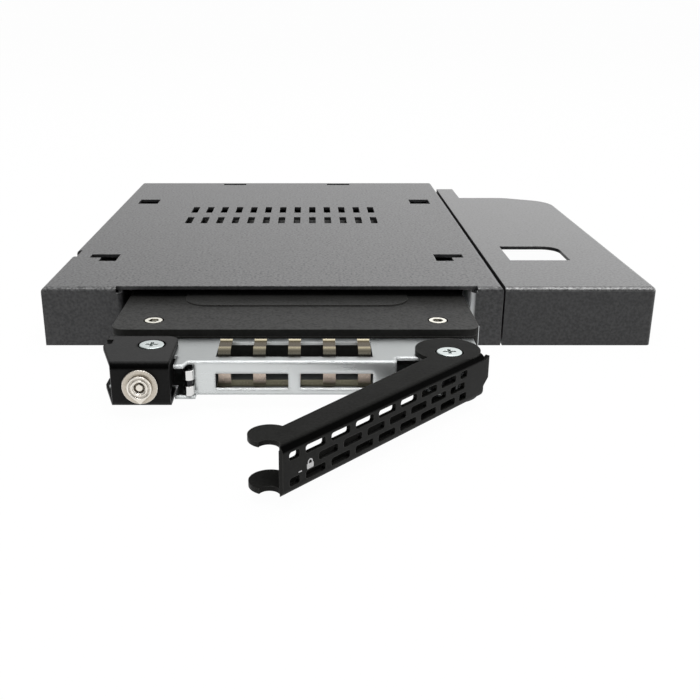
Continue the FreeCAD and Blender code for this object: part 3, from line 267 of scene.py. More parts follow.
# %% [markdown]
# Powder coat is paint that was sprayed dry and baked. It has a fine pebbled skin: tiny hills that catch
# the light, and a colour that hardly changes. A noise gives the hills, and another one, ten times as
# wide, gives the slow change of tone. Each hill is also a little more or less glossy than the next, which
# shows most on faces that look up. Real pebbles are about a fifth of a millimetre wide, less than a pixel
# here, so they are drawn about half a millimetre wide, as coarse as they need to be to show.
#
# Deep in a channel the gloss is turned down, a painted shade on the reflections, by how much of the view
# from a point its own sheet closes off. The gloss also changes with which way a face looks, a painted sheen
# that makes upright and level faces lighter or darker. All this could be painted on by hand, but then it
# would have to be painted again whenever a fold moves.

# %% Grain and gloss of a powder coat
SLOW_WIDER = 10
TONE_SPAN = (0.65, 1.35)
GRAIN_SPAN = (0.35, 0.65)
GLOSS_SHADE_SPAN = (0.45, 0.85)
MID_GLOSS = 0.5
UPRIGHT_SPECKLE = 0.35


def coat_grain(tree, place, grain_mm):
    """Noise as wide as the grain, and the sum of it and of a noise ten times as wide as a tone, 0 to 1."""
    grain = add(tree, "ShaderNodeTexNoise", {"Vector": place, "Scale": 1 / (grain_mm * MM), "Detail": 3.0,
                                             "Roughness": 0.55}).outputs["Fac"]
    slow = add(tree, "ShaderNodeTexNoise", {"Vector": place, "Scale": 1 / (SLOW_WIDER * grain_mm * MM),
                                            "Detail": 2.0})
    both = add(tree, "ShaderNodeMath", {0: grain, 1: slow.outputs["Fac"]}, operation="ADD")
    tone = add(tree, "ShaderNodeMapRange", {"Value": both.outputs[0], "From Min": TONE_SPAN[0],
                                            "From Max": TONE_SPAN[1]})
    return grain, tone.outputs[0]


def coat_gloss(tree, grain, rise, speckle, shade_reach_mm, upright_sheen, level_sheen):
    """Half the full gloss, more or less by speckle in each hill; times a painted shade, by how open the view
    is within the reach; times a painted sheen, one share on upright faces, which changes to another on level
    ones."""
    swing = add(tree, "ShaderNodeMapRange", {"Value": rise, "To Min": UPRIGHT_SPECKLE * speckle,
                                             "To Max": speckle})
    spread = add(tree, "ShaderNodeMapRange", {"Value": grain, "From Min": GRAIN_SPAN[0],
                                              "From Max": GRAIN_SPAN[1], "To Min": -1.0, "To Max": 1.0})
    gloss = add(tree, "ShaderNodeMath", {0: spread.outputs[0], 1: swing.outputs[0], 2: MID_GLOSS},
                operation="MULTIPLY_ADD")
    # Painted shade: gloss falls where the sheet itself closes the view in.
    view = add(tree, "ShaderNodeAmbientOcclusion", {"Distance": shade_reach_mm * MM}, samples=4, only_local=True)
    gloss_shade = add(tree, "ShaderNodeMapRange", {"Value": view.outputs["AO"], "From Min": GLOSS_SHADE_SPAN[0],
                                                "From Max": GLOSS_SHADE_SPAN[1]})
    # Painted sheen: the gloss share changes with which way the face looks.
    share = add(tree, "ShaderNodeMapRange", {"Value": rise, "To Min": upright_sheen, "To Max": level_sheen})
    for factor in (gloss_shade, share):
        gloss = add(tree, "ShaderNodeMath", {0: gloss.outputs[0], 1: factor.outputs[0]},
                    operation="MULTIPLY")
    return gloss.outputs[0]


print("pebbles on an upright face have %.0f%% of their swing in gloss" % (100 * UPRIGHT_SPECKLE))

# %% [markdown]
# A folded edge is never quite sharp. A Bevel node rounds the normal there, for a soft glint that a sharp
# solid can't give. Where the rounded normal leaves the real one there is an edge, and it is painted paler,
# partly as paint rubbed by handling and partly as a painted glint. Bends are where the rounded normal points
# up, but not wholly. On black paint they are painted darker and duller, a painted reflection of the dark side
# of the room, and on grey paint their gloss is raised, a painted highlight. Rounding the solids themselves
# would cost many faces on every slot and fold for what is less than a pixel wide.

# %% Edges and bends of a powder coat
BEND_RISES = (0.1, 0.3)
BEND_ENDS = (0.95, 0.8)
RUB_GLINT_SPAN = (0.995, 0.85)
BEND_SHADE_BLACK = "#020202"
GLOSS_STEP = 0.07
UPRIGHT_HILLS = 0.3
HILL_MM = 0.05


def coat_bend_light(tree, bend_mm, bend_light):
    """Share of painted light on bends, up to the strength: rises with the rounded normal's Z, and falls again
    where that nears 1.
    """
    rounded = add(tree, "ShaderNodeBevel", {"Radius": bend_mm * MM}, samples=6)
    tilt = add(tree, "ShaderNodeSeparateXYZ", {0: rounded.outputs[0]}).outputs["Z"]
    rises = add(tree, "ShaderNodeMapRange", {"Value": tilt, "From Min": BEND_RISES[0],
                                             "From Max": BEND_RISES[1], "To Max": bend_light})
    ends = add(tree, "ShaderNodeMapRange", {"Value": tilt, "From Min": BEND_ENDS[0],
                                            "From Max": BEND_ENDS[1]})
    both = add(tree, "ShaderNodeMath", {0: rises.outputs[0], 1: ends.outputs[0]}, operation="MULTIPLY")
    return both.outputs[0]


def coat_rub_glint(tree, edge, wear_glint):
    """Share of the paler edge tone, partly rubbed paint and partly a painted glint: up to the given most, as
    the cosine between the rounded and the real normal falls.
    """
    real = add(tree, "ShaderNodeNewGeometry").outputs["Normal"]
    cosine = add(tree, "ShaderNodeVectorMath", {0: edge, 1: real}, operation="DOT_PRODUCT")
    rub_glint = add(tree, "ShaderNodeMapRange", {"Value": cosine.outputs["Value"], "From Min": RUB_GLINT_SPAN[0],
                                           "From Max": RUB_GLINT_SPAN[1], "To Max": wear_glint})
    return rub_glint.outputs[0]


def powder_coat(name, deep, pale, worn_glint, grain_mm, hills, roughness, ior, speckle, upright_sheen, level_sheen, shade_reach_mm,
                edge_mm, wear_glint, bend_mm, bend_light):
    """Colour from deep to pale by the grain, then to black on bends, a painted shade, then to the paler edge
    tone, partly rubbed paint and partly a painted glint. Gloss as in coat_gloss, times 1 less the share on
    bends, so that a strength below zero makes them shinier, a painted highlight. Bump is hills high on level
    faces and lower on upright ones."""
    material, tree, output, place = new_material(name)
    grain, tone = coat_grain(tree, place, grain_mm)
    edge = add(tree, "ShaderNodeBevel", {"Radius": edge_mm * MM}, samples=4).outputs[0]
    facing = add(tree, "ShaderNodeSeparateXYZ", {0: edge})
    rise = add(tree, "ShaderNodeMath", {0: facing.outputs["Z"]}, operation="ABSOLUTE").outputs[0]
    bend_light_share = coat_bend_light(tree, bend_mm, bend_light)
    colour = linear(deep)
    # Painted light in the colour: black on bends is painted shade, and the paler edge tone is partly rubbed
    # paint and partly a painted glint.
    for share, other in ((tone, pale), (bend_light_share, BEND_SHADE_BLACK), (coat_rub_glint(tree, edge, wear_glint), worn_glint)):
        colour = add(tree, "ShaderNodeMix", {"Factor": share, "A": colour, "B": linear(other)},
                     data_type="RGBA").outputs["Result"]
    # Painted highlight: where the strength on bends is below zero, the gloss there rises.
    flat = add(tree, "ShaderNodeMath", {0: 1.0, 1: bend_light_share}, operation="SUBTRACT")
    gloss = coat_gloss(tree, grain, rise, speckle, shade_reach_mm, upright_sheen, level_sheen)
    gloss = add(tree, "ShaderNodeMath", {0: gloss, 1: flat.outputs[0]}, operation="MULTIPLY")
    rough = add(tree, "ShaderNodeMapRange", {"Value": grain, "To Min": roughness - GLOSS_STEP,
                                             "To Max": roughness + GLOSS_STEP})
    height = add(tree, "ShaderNodeMapRange", {"Value": rise, "To Min": UPRIGHT_HILLS * hills,
                                              "To Max": hills})
    bump = add(tree, "ShaderNodeBump", {"Height": grain, "Strength": height.outputs[0],
                                        "Distance": HILL_MM * MM, "Normal": edge})
    paint = add(tree, "ShaderNodeBsdfPrincipled", {"Base Color": colour, "Roughness": rough.outputs[0],
                                                   "IOR": ior, "Specular IOR Level": gloss.outputs[0],
                                                   "Normal": bump.outputs[0]})
    tree.links.new(paint.outputs[0], output.inputs["Surface"])
    return material


print("hills are up to %.2f mm high" % HILL_MM)

# %% [markdown]
# The rack wears five coats. Cover and pan are graphite grey with clear pebbles. The wing has the same grey,
# a little smoother. The lock's bracket is deep black. The lever is black too, and its flat top gets little
# gloss, a painted darkening that follows how light falls on it. The drive's case is baked enamel, a dull warm
# black. One material for all of them would be quicker, but side by side their sheen differs at a glance.

# %% Coats on their solids
# Painted light in each coat below: the upright and level sheen lighten or darken faces by facing, and the
# reach sets the painted shade on gloss in channels.
housing_coat = powder_coat("powder_coat_graphite", deep="#232324", pale="#2A2A2B", worn_glint="#5A5A5B",
                           grain_mm=0.55, hills=0.6, roughness=0.42, ior=1.6, speckle=0.38, upright_sheen=0.78,
                           level_sheen=1.0, shade_reach_mm=5.0, edge_mm=0.25, wear_glint=0.35, bend_mm=0.3, bend_light=-0.4)
wing_coat = powder_coat("powder_coat_graphite_smooth", deep="#1D1D1E", pale="#242425", worn_glint="#58585A",
                        grain_mm=0.55, hills=0.5, roughness=0.36, ior=1.62, speckle=0.28, upright_sheen=0.7,
                        level_sheen=1.0, shade_reach_mm=5.0, edge_mm=0.25, wear_glint=0.35, bend_mm=0.3, bend_light=-1.7)
# Painted shade: the bracket and lever coats below get a strength above zero on bends, which paints them
# darker there; the grey coats above get one below zero, a painted highlight.
black_coat = powder_coat("powder_coat_black", deep="#080808", pale="#0E0E0E", worn_glint="#343433",
                         grain_mm=0.45, hills=0.4, roughness=0.5, ior=1.2, speckle=0.1, upright_sheen=1.5,
                         level_sheen=0.95, shade_reach_mm=5.0, edge_mm=0.22, wear_glint=0.6, bend_mm=0.7, bend_light=0.9)
lever_coat = powder_coat("powder_coat_black_thin", deep="#161615", pale="#1E1E1D", worn_glint="#4A4A48",
                         grain_mm=0.45, hills=0.4, roughness=0.45, ior=1.15, speckle=0.1, upright_sheen=1.3,
                         level_sheen=0.2, shade_reach_mm=15.0, edge_mm=0.22, wear_glint=0.7, bend_mm=0.05, bend_light=0.9)
drive_coat = powder_coat("baked_enamel_black", deep="#1E1E1D", pale="#282827", worn_glint="#5A5A58",
                         grain_mm=0.5, hills=0.6, roughness=0.45, ior=1.25, speckle=0.26, upright_sheen=0.3,
                         level_sheen=0.45, shade_reach_mm=3.0, edge_mm=0.2, wear_glint=0.5, bend_mm=0.0, bend_light=0.0)
dress(housing_coat, "top_cover", "base_pan")
dress(wing_coat, "wing_cover")
dress(black_coat, "lock_bracket")
dress(lever_coat, "lever")
dress(drive_coat, "drive_lid", "drive_base")
print("coats:", housing_coat.name, black_coat.name, drive_coat.name)

# %% [markdown]
# The right return of the housing's mouth faces inwards, and light from the left falls on it, so it is painted
# as a pale strip, a painted pool of light. It could be a solid of its own, but it is the same sheet, so the
# cover's material finds it by place: far to the right, under the top sheet, and looking back to the middle.

# %% Painted light on the return of the mouth
RETURN_RIGHT_OF = 30.0
RETURN_UNDER = 11.9
RETURN_FACING = (-5.0, -34.0)
PATCH_SHINE = 0.1


def light_on_return(material, tone, roughness):
    """Mix in a pale painted light where the place's X times the normal's X is far below zero, at high X and
    low Z.
    """
    tree = material.node_tree
    output = next(n for n in tree.nodes if n.bl_idname == "ShaderNodeOutputMaterial")
    paint = output.inputs["Surface"].links[0].from_socket
    place = add(tree, "ShaderNodeSeparateXYZ", {0: add(tree, "ShaderNodeTexCoord").outputs["Object"]})
    normal = add(tree, "ShaderNodeNewGeometry").outputs["True Normal"]
    facing = add(tree, "ShaderNodeSeparateXYZ", {0: normal})
    both = add(tree, "ShaderNodeMath", {0: place.outputs["X"], 1: facing.outputs["X"]}, operation="MULTIPLY")
    painted_light = add(tree, "ShaderNodeMapRange", {"Value": both.outputs[0], "From Min": RETURN_FACING[0] * MM,
                                            "From Max": RETURN_FACING[1] * MM})
    right = add(tree, "ShaderNodeMath", {0: place.outputs["X"], 1: RETURN_RIGHT_OF * MM},
                operation="GREATER_THAN")
    under = add(tree, "ShaderNodeMath", {0: place.outputs["Z"], 1: RETURN_UNDER * MM}, operation="LESS_THAN")
    for limit in (right, under):
        painted_light = add(tree, "ShaderNodeMath", {0: painted_light.outputs[0], 1: limit.outputs[0]}, operation="MULTIPLY")
    patch = add(tree, "ShaderNodeBsdfPrincipled", {"Base Color": linear(tone), "Metallic": PATCH_SHINE,
                                                  "Roughness": roughness})
    mixed = add(tree, "ShaderNodeMixShader", {0: painted_light.outputs[0], 1: paint, 2: patch.outputs[0]})
    tree.links.new(mixed.outputs[0], output.inputs["Surface"])


# Painted light: a pale, nearly matt tone on the right return.
light_on_return(housing_coat, "#F0F1F2", 0.6)
print("bare zinc right of %.0f mm and under %.1f mm" % (RETURN_RIGHT_OF, RETURN_UNDER))

# %% [markdown]
# Zinc plating is a thin bright metal skin on rolled steel. It is a mirror at heart, dulled by the fine
# lines of the rolling and by soft cloudy spots. The lines are noise that is stretched along the sheet, so
# its scale is small along X and large across it. The bar and the plate of the tray are one sheet, and the
# fold between them is round and catches the strip of light, while its other edges are plain cuts. A picture
# of metal could be laid on instead, but noise has no seam and keeps its size on every piece.

# %% Plated sheet
ROLLED = (0.06, 1.0, 1.0)
CLOUD_SPAN = (0.6, 1.4)
LEVEL_SHADE_SPAN = (0.8, 0.98)
FOLD_FADE = 0.3
CUT_EDGE = 0.1
LINE_STRENGTH = 0.02
LINE_DEPTH = 0.02


def plated_sheet(name, base, flat, roughness, line_mm, cloud_mm, cloud, fold_mm, fold_end):
    """Roughness by the sum of rolling lines and clouds, up to cloud to either side. Level faces have the
    flat tone and other faces the base tone, by the Z of the rounded normal; the flat tone is darker, a
    painted shade on level faces. Edges are rounded over fold_mm in front of fold_end along Y, and are cuts
    behind it."""
    material, tree, output, place = new_material(name)
    stretch = add(tree, "ShaderNodeMapping", {"Vector": place, "Scale": ROLLED})
    lines = add(tree, "ShaderNodeTexNoise", {"Vector": stretch.outputs[0], "Scale": 1 / (line_mm * MM),
                                             "Detail": 4.0}).outputs["Fac"]
    clouds = add(tree, "ShaderNodeTexNoise", {"Vector": place, "Scale": 1 / (cloud_mm * MM), "Detail": 3.0})
    both = add(tree, "ShaderNodeMath", {0: lines, 1: clouds.outputs["Fac"]}, operation="ADD")
    rough = add(tree, "ShaderNodeMapRange", {"Value": both.outputs[0], "From Min": CLOUD_SPAN[0],
                                             "From Max": CLOUD_SPAN[1], "To Min": roughness - cloud,
                                             "To Max": roughness + cloud})
    ahead = add(tree, "ShaderNodeSeparateXYZ", {0: place}).outputs["Y"]
    fold = add(tree, "ShaderNodeMapRange", {"Value": ahead, "From Min": (fold_end - FOLD_FADE) * MM,
                                            "From Max": fold_end * MM, "To Min": fold_mm * MM,
                                            "To Max": CUT_EDGE * MM})
    edge = add(tree, "ShaderNodeBevel", {"Radius": fold.outputs[0]}, samples=6).outputs[0]
    bump = add(tree, "ShaderNodeBump", {"Height": lines, "Strength": LINE_STRENGTH,
                                        "Distance": LINE_DEPTH * MM, "Normal": edge})
    facing = add(tree, "ShaderNodeSeparateXYZ", {0: edge})
    # Painted shade: level faces take the darker flat tone.
    level = add(tree, "ShaderNodeMapRange", {"Value": facing.outputs["Z"], "From Min": LEVEL_SHADE_SPAN[0],
                                             "From Max": LEVEL_SHADE_SPAN[1]})
    colour = add(tree, "ShaderNodeMix", {"Factor": level.outputs[0], "A": linear(base), "B": linear(flat)},
                 data_type="RGBA")
    metal = add(tree, "ShaderNodeBsdfPrincipled", {"Base Color": colour.outputs["Result"], "Metallic": 1.0,
                                                   "Roughness": rough.outputs[0],
                                                   "Normal": bump.outputs[0]})
    tree.links.new(metal.outputs[0], output.inputs["Surface"])
    return material


print("rolling lines are %.0f times as long as wide" % (1 / ROLLED[0]))

# %% [markdown]
# The tray is the brightest sheet. Rails and small brackets are drawn strip, greyer and duller. Small screws
# are plated steel with a finer grain. The bush inside the pivot is drawn dark, so that the lever's slots show
# black behind them. They are all metals with one kind of surface, so one function with other numbers makes
# them.

# %% Plated steel on its solids
EVERYWHERE = 1000.0


def corners(node):
    """Low and high corner of a node's box at rest, in millimetres."""
    return tuple(np.asarray(corner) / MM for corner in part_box(node))


FOLD_END = corners("finger_strip")[0][1]
# On every sheet the flat tone is darker than the base, a painted shade on level faces.
tray_zinc = plated_sheet("zinc_plated_rolled_steel", base="#D0D3D3", flat="#8E9191", roughness=0.3,
                         line_mm=0.25, cloud_mm=6.0, cloud=0.06, fold_mm=1.1, fold_end=FOLD_END)
rail_zinc = plated_sheet("zinc_plated_drawn_strip", base="#AEB2B4", flat="#9A9EA0", roughness=0.38,
                         line_mm=0.3, cloud_mm=4.0, cloud=0.08, fold_mm=0.15, fold_end=EVERYWHERE)
screw_zinc = plated_sheet("zinc_plated_steel_screw", base="#C9CFCF", flat="#B9C0C0", roughness=0.2,
                          line_mm=0.12, cloud_mm=0.8, cloud=0.06, fold_mm=0.15, fold_end=EVERYWHERE)
# Dark bush: it makes the lever's slots show black.
dark_bush = plated_sheet("dark_turned_steel", base="#262627", flat="#202021", roughness=0.4,
                          line_mm=0.3, cloud_mm=4.0, cloud=0.08, fold_mm=0.15, fold_end=EVERYWHERE)
dress(tray_zinc, "drive_tray")
dress(rail_zinc, "left_rail", "right_rail", "bracket_standoff", "lock_cam")
dress(dark_bush, "pivot_bush")
dress(screw_zinc, "cover_screws", "wing_screws", "board_screws", "drive_side_screws", "cam_screw")
print("the tray's fold ends at Y %.1f mm" % FOLD_END)

# %% [markdown]
# The key lock is turned on a lathe and nickel plated. The tool leaves fine rings about the axis. Corners are
# painted darker by how closed in a point is, a painted shade, with random specks of grime in it, and rims are
# painted bright, partly rubbed by keys and partly a painted highlight. Rings are a sine of the distance from
# the axis. A ring drawn as geometry would cost many faces for a depth of a hundredth of a millimetre, so it
# stays in the shader.

# %% Turned metal
NOISE_MEAN = 0.5
SPECK_MM = 0.35
SPECK_ROUGH = (-0.08, 0.12)
GROOVE_SHADE_FADE = 0.05
DIRT_SHADE_SPAN = (0.3, 0.9)
RIM_SPAN = (0.97, 0.85)
RIM_RUB_GLINT = "#FBF7F0"
RING_STRENGTH = 0.25
RING_DEPTH = 0.01


def axis_distance(tree, place, axis, across):
    """Length of the way from a point on the axis, with the part along the axis left out."""
    way = add(tree, "ShaderNodeVectorMath", {0: place, 1: tuple(v * MM for v in axis)}, operation="SUBTRACT")
    flat = add(tree, "ShaderNodeVectorMath", {0: way.outputs[0], 1: across}, operation="MULTIPLY")
    return add(tree, "ShaderNodeVectorMath", {0: flat.outputs[0]}, operation="LENGTH").outputs["Value"]


def clean_lit_share(tree, far, specks, shade_corner_mm, grime, groove_shade_mm):
    """Share of the base tone: how open the view is within the reach, a painted shade in corners, plus specks
    times grime; none nearer than the groove's radius to the axis, which is painted shade in the groove."""
    # Painted shade: corners darken by how closed in they are.
    view = add(tree, "ShaderNodeAmbientOcclusion", {"Distance": shade_corner_mm * MM}, samples=6)
    clean_lit = add(tree, "ShaderNodeMath", {0: specks, 1: grime, 2: view.outputs["AO"]},
                operation="MULTIPLY_ADD")
    clean_lit = add(tree, "ShaderNodeMapRange", {"Value": clean_lit.outputs[0],
                                             "From Min": DIRT_SHADE_SPAN[0] + NOISE_MEAN * grime,
                                             "From Max": DIRT_SHADE_SPAN[1] + NOISE_MEAN * grime})
    # Painted shade: everything within the groove's radius of the axis takes the dark tone.
    out_of_groove = add(tree, "ShaderNodeMapRange", {"Value": far, "From Min": groove_shade_mm * MM,
                                           "From Max": (groove_shade_mm + GROOVE_SHADE_FADE) * MM})
    clean_lit = add(tree, "ShaderNodeMath", {0: clean_lit.outputs[0], 1: out_of_groove.outputs[0]}, operation="MULTIPLY")
    return clean_lit.outputs[0]


def turned_metal(name, base, dirt_and_shade, axis, across, ring_mm, roughness, shade_corner_mm, grime, groove_shade_mm, edge_mm,
                 rub_glint):
    """Bump by the sine of the distance from the axis, one ring each ring_mm. Colour from the dark tone to
    base by the share of painted shade and grime, and from there to bright, where an edge is rounded over
    edge_mm; the bright rim is partly rubbed metal and partly a painted highlight."""
    material, tree, output, place = new_material(name)
    far = axis_distance(tree, place, axis, across)
    phase = add(tree, "ShaderNodeMath", {0: far, 1: 2 * math.pi / (ring_mm * MM)}, operation="MULTIPLY")
    rings = add(tree, "ShaderNodeMath", {0: phase.outputs[0]}, operation="SINE")
    specks = add(tree, "ShaderNodeTexNoise", {"Vector": place, "Scale": 1 / (SPECK_MM * MM),
                                              "Detail": 4.0}).outputs["Fac"]
    rough = add(tree, "ShaderNodeMapRange", {"Value": specks, "To Min": roughness + SPECK_ROUGH[0],
                                             "To Max": roughness + SPECK_ROUGH[1]})
    edge = add(tree, "ShaderNodeBevel", {"Radius": edge_mm * MM}, samples=6).outputs[0]
    real = add(tree, "ShaderNodeNewGeometry").outputs["Normal"]
    cosine = add(tree, "ShaderNodeVectorMath", {0: edge, 1: real}, operation="DOT_PRODUCT")
    rub_glint_share = add(tree, "ShaderNodeMapRange", {"Value": cosine.outputs["Value"], "From Min": RIM_SPAN[0],
                                              "From Max": RIM_SPAN[1], "To Max": rub_glint})
    clean_lit = clean_lit_share(tree, far, specks, shade_corner_mm, grime, groove_shade_mm)
    colour = linear(dirt_and_shade)
    # Painted shade in corners, then a bright rim that is partly rubbed and partly a painted highlight.
    for share, other in ((clean_lit, base), (rub_glint_share.outputs[0], RIM_RUB_GLINT)):
        colour = add(tree, "ShaderNodeMix", {"Factor": share, "A": colour, "B": linear(other)},
                     data_type="RGBA").outputs["Result"]
    bump = add(tree, "ShaderNodeBump", {"Height": rings.outputs[0], "Strength": RING_STRENGTH,
                                        "Distance": RING_DEPTH * MM, "Normal": edge})
    metal = add(tree, "ShaderNodeBsdfPrincipled", {"Base Color": colour, "Metallic": 1.0,
                                                   "Roughness": rough.outputs[0],
                                                   "Normal": bump.outputs[0]})
    tree.links.new(metal.outputs[0], output.inputs["Surface"])
    return material


print("rings are %.2f mm deep" % RING_DEPTH)

# %% [markdown]
# The lock's axis runs along Y, so its rings lie in X and Z. The dial that takes the key is the brightest,
# rubbed by fingers. The post beside the bar stands upright, and its groove and the middle of its ends are
# painted dark, a painted shade. On every part the corners get painted shade and the rims a painted highlight.
# Screw heads have rings from the lathe too. The lid's screws share one node and have an axis each, so their
# rings are drawn so wide that none shows. A material could be copied and changed by hand, but a function
# keeps them alike.

# %% Turned metal on its solids
ROUND_Y = (1.0, 0.0, 1.0)
ROUND_Z = (1.0, 1.0, 0.0)
NO_RINGS = 50.0
NO_GROOVE = 0.0


def middle(node):
    """Middle of a node's box at rest, in millimetres."""
    return sum(corners(node)) / 2


# Painted shade: the dark tone of each part below is laid into its corners, and for the post into its groove.
lock_nickel = turned_metal("nickel_plated_turned_brass", base="#C4BCB0", dirt_and_shade="#8F8778",
                           axis=middle("lock_barrel"), across=ROUND_Y, ring_mm=0.24, roughness=0.22,
                           shade_corner_mm=0.9, grime=0.8, groove_shade_mm=NO_GROOVE, edge_mm=0.25, rub_glint=0.8)
dial_nickel = turned_metal("nickel_plated_turned_dial", base="#E6E0D6", dirt_and_shade="#857D6F",
                           axis=middle("lock_barrel"), across=ROUND_Y, ring_mm=0.24, roughness=0.2,
                           shade_corner_mm=0.9, grime=0.9, groove_shade_mm=NO_GROOVE, edge_mm=0.25, rub_glint=1.0)
post_nickel = turned_metal("nickel_plated_turned_post", base="#DCDCDB", dirt_and_shade="#303032",
                           axis=middle("latch_post"), across=ROUND_Z, ring_mm=0.2, roughness=0.1,
                           shade_corner_mm=1.2, grime=0.15, groove_shade_mm=0.75, edge_mm=0.12, rub_glint=0.3)
lid_nickel = turned_metal("nickel_plated_lid_screw", base="#D6D3C8", dirt_and_shade="#1E1D1A",
                          axis=middle("drive_lid_screws"), across=ROUND_Z, ring_mm=NO_RINGS, roughness=0.25,
                          shade_corner_mm=0.9, grime=0.2, groove_shade_mm=NO_GROOVE, edge_mm=0.12, rub_glint=0.3)
for screw in ("bracket_screw", "pivot_screw"):
    head_zinc = turned_metal("zinc_plated_" + screw, base="#AFB6B5", dirt_and_shade="#A2AAA9", axis=middle(screw),
                             across=ROUND_Z, ring_mm=0.3, roughness=0.25, shade_corner_mm=0.9, grime=1.2,
                             groove_shade_mm=NO_GROOVE, edge_mm=0.12, rub_glint=0.2)
    dress(head_zinc, screw)
dress(lock_nickel, "lock_barrel", "lock_nut")
dress(dial_nickel, "lock_plug")
dress(post_nickel, "latch_post")
dress(lid_nickel, "drive_lid_screws")
print("turned:", lock_nickel.name, post_nickel.name)

# %% [markdown]
# Behind the bar stands a strip of spring fingers, cut from one thin sheet of bronze with a flash of nickel
# and bent in one press. Each finger rises behind the bar, rolls over a knuckle, dips a little and turns up
# at its tip. The frame has the strip with plain bends, which is enough for contact, so here it is drawn
# again with soft ones. A curve could be drawn by hand, but a bent strip is simplest to give by its slope:
# it stays the same along each straight run and changes evenly along each bend.

# %% Profile of a finger
SHEET = 0.25
BEND_RUNS = np.array([0.0, 0.2, 0.6, 3.0, 3.6])
BEND_SLOPES = np.radians([40.0, 40.0, -2.0, -2.0, 90.0])
STEP = 0.06
STEM_ROWS = 20


def finger_profile(low, high):
    """Line from the tip to the foot: points are the running sum of short steps, each in the direction of
    the slope at that length; the last run goes straight down to the foot. It fits the node's box."""
    reach = np.cumsum(BEND_RUNS)
    along = np.arange(0.0, reach[-1] + STEP, STEP)
    slope = np.interp(along, reach, BEND_SLOPES)
    y = -np.cumsum(np.cos(slope)) * STEP
    z = -np.cumsum(np.sin(slope)) * STEP
    y += low[1] + SHEET / 2 - y.min()
    z += high[2] - SHEET / 2 - z.max()
    down = np.linspace(z[-1], low[2] + SHEET / 2, STEM_ROWS)[1:]
    length = np.append(along, along[-1] + z[-1] - down)
    y = np.append(y, np.full(len(down), y[-1]))
    slope = np.append(slope, np.full(len(down), slope[-1]))
    return y, np.append(z, down), slope, length


strip_low, strip_high = corners("finger_strip")
profile = finger_profile(strip_low, strip_high)
print("profile: %d points, %.1f mm long" % (len(profile[0]), profile[3][-1]))

# %% [markdown]
# A strip of sheet is its profile with a thickness and a width. Blender could give both to a line with
# modifiers, but here a small rectangle is carried along the profile as one array: first all points of one
# finger, then the same for each place along the bar. Every point also keeps its length from the tip, which
# the finish reads later.

# %% Spring fingers
FINGER_COUNT = 5
FINGER_PITCH = 6.25
FINGER_PLACES = FINGER_PITCH * (np.arange(FINGER_COUNT) - (FINGER_COUNT - 1) / 2)
FINGER_WIDE = 2.25
FOOT_AHEAD = 0.05
FOOT_BEHIND = 2.4
SOFT_BEND = math.radians(40)
BOX_CORNERS = np.array([(x, y, z) for z in (0, 1) for x, y in ((0, 0), (1, 0), (1, 1), (0, 1))])
BOX_FACES = np.array([(3, 2, 1, 0), (4, 5, 6, 7), (0, 1, 5, 4), (1, 2, 6, 5), (2, 3, 7, 6), (3, 0, 4, 7)])


def finger_points(y, z, slope):
    """Four points in each row: half a sheet to either side of the profile, square to its slope, and half a
    finger to either side of each place."""
    off = SHEET / 2 * np.array([-1, -1, 1, 1])
    side = FINGER_WIDE / 2 * np.array([-1, 1, 1, -1])
    ring_x = np.broadcast_to(FINGER_PLACES[:, None, None] + side, (len(FINGER_PLACES), len(y), 4))
    ring_y = np.broadcast_to(y[:, None] + off * np.sin(slope)[:, None], ring_x.shape)
    ring_z = np.broadcast_to(z[:, None] - off * np.cos(slope)[:, None], ring_x.shape)
    return np.stack([ring_x, ring_y, ring_z], -1).reshape(-1, 3)


def finger_faces(rows):
    """Quads between each row of four points and the next, and one across either end, for each place."""
    row, corner = np.meshgrid(4 * np.arange(rows - 1), np.arange(4), indexing="ij")
    after = (corner + 1) % 4
    around = np.stack([row + corner, row + after, row + 4 + after, row + 4 + corner], -1).reshape(-1, 4)
    faces = np.vstack([around, QUAD[:, ::-1], 4 * (rows - 1) + QUAD])[:, ::-1]
    shift = 4 * rows * np.arange(len(FINGER_PLACES))
    return (faces[None] + shift[:, None, None]).reshape(-1, 4)


def spring_fingers(low, high, y, z, slope, length, foot_length):
    """The fingers, and under them all a flat bar as their foot, with the length from the tip per point."""
    foot_low = np.array([low[0], low[1] + FOOT_AHEAD, low[2]])
    foot_high = np.array([high[0], low[1] + FOOT_BEHIND, low[2] + SHEET])
    blades = finger_points(y, z, slope)
    foot = foot_low + BOX_CORNERS * (foot_high - foot_low)
    faces = np.vstack([finger_faces(len(y)), BOX_FACES + len(blades)])
    piece = new_piece("spring_fingers", np.vstack([blades, foot]), faces)
    piece.data.shade_smooth()
    piece.data.set_sharp_from_angle(angle=SOFT_BEND)
    along = np.append(np.tile(np.repeat(length, 4), len(FINGER_PLACES)), np.full(len(foot), foot_length))
    piece.data.attributes.new("along", "FLOAT", "POINT").data.foreach_set("value", along)
    return piece


FOOT_LENGTH = 12.0
fingers = spring_fingers(strip_low, strip_high, *profile, FOOT_LENGTH)
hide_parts("finger_strip")
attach(fingers, "tray")
print("fingers:", len(fingers.data.polygons), "faces")

# %% [markdown]
# Along each finger the tone paints light and shade: a lighter tip, a painted highlight; a brown dip, a
# painted reflection of the dark drive behind it; a bright knuckle, a painted highlight; painted shade lower
# down; and a pale, nearly matt stem, which the bar's slots show, painted light. The tone is a ramp over the
# length from the tip. It could be painted on a picture, but then the picture would have to be laid out flat
# first.

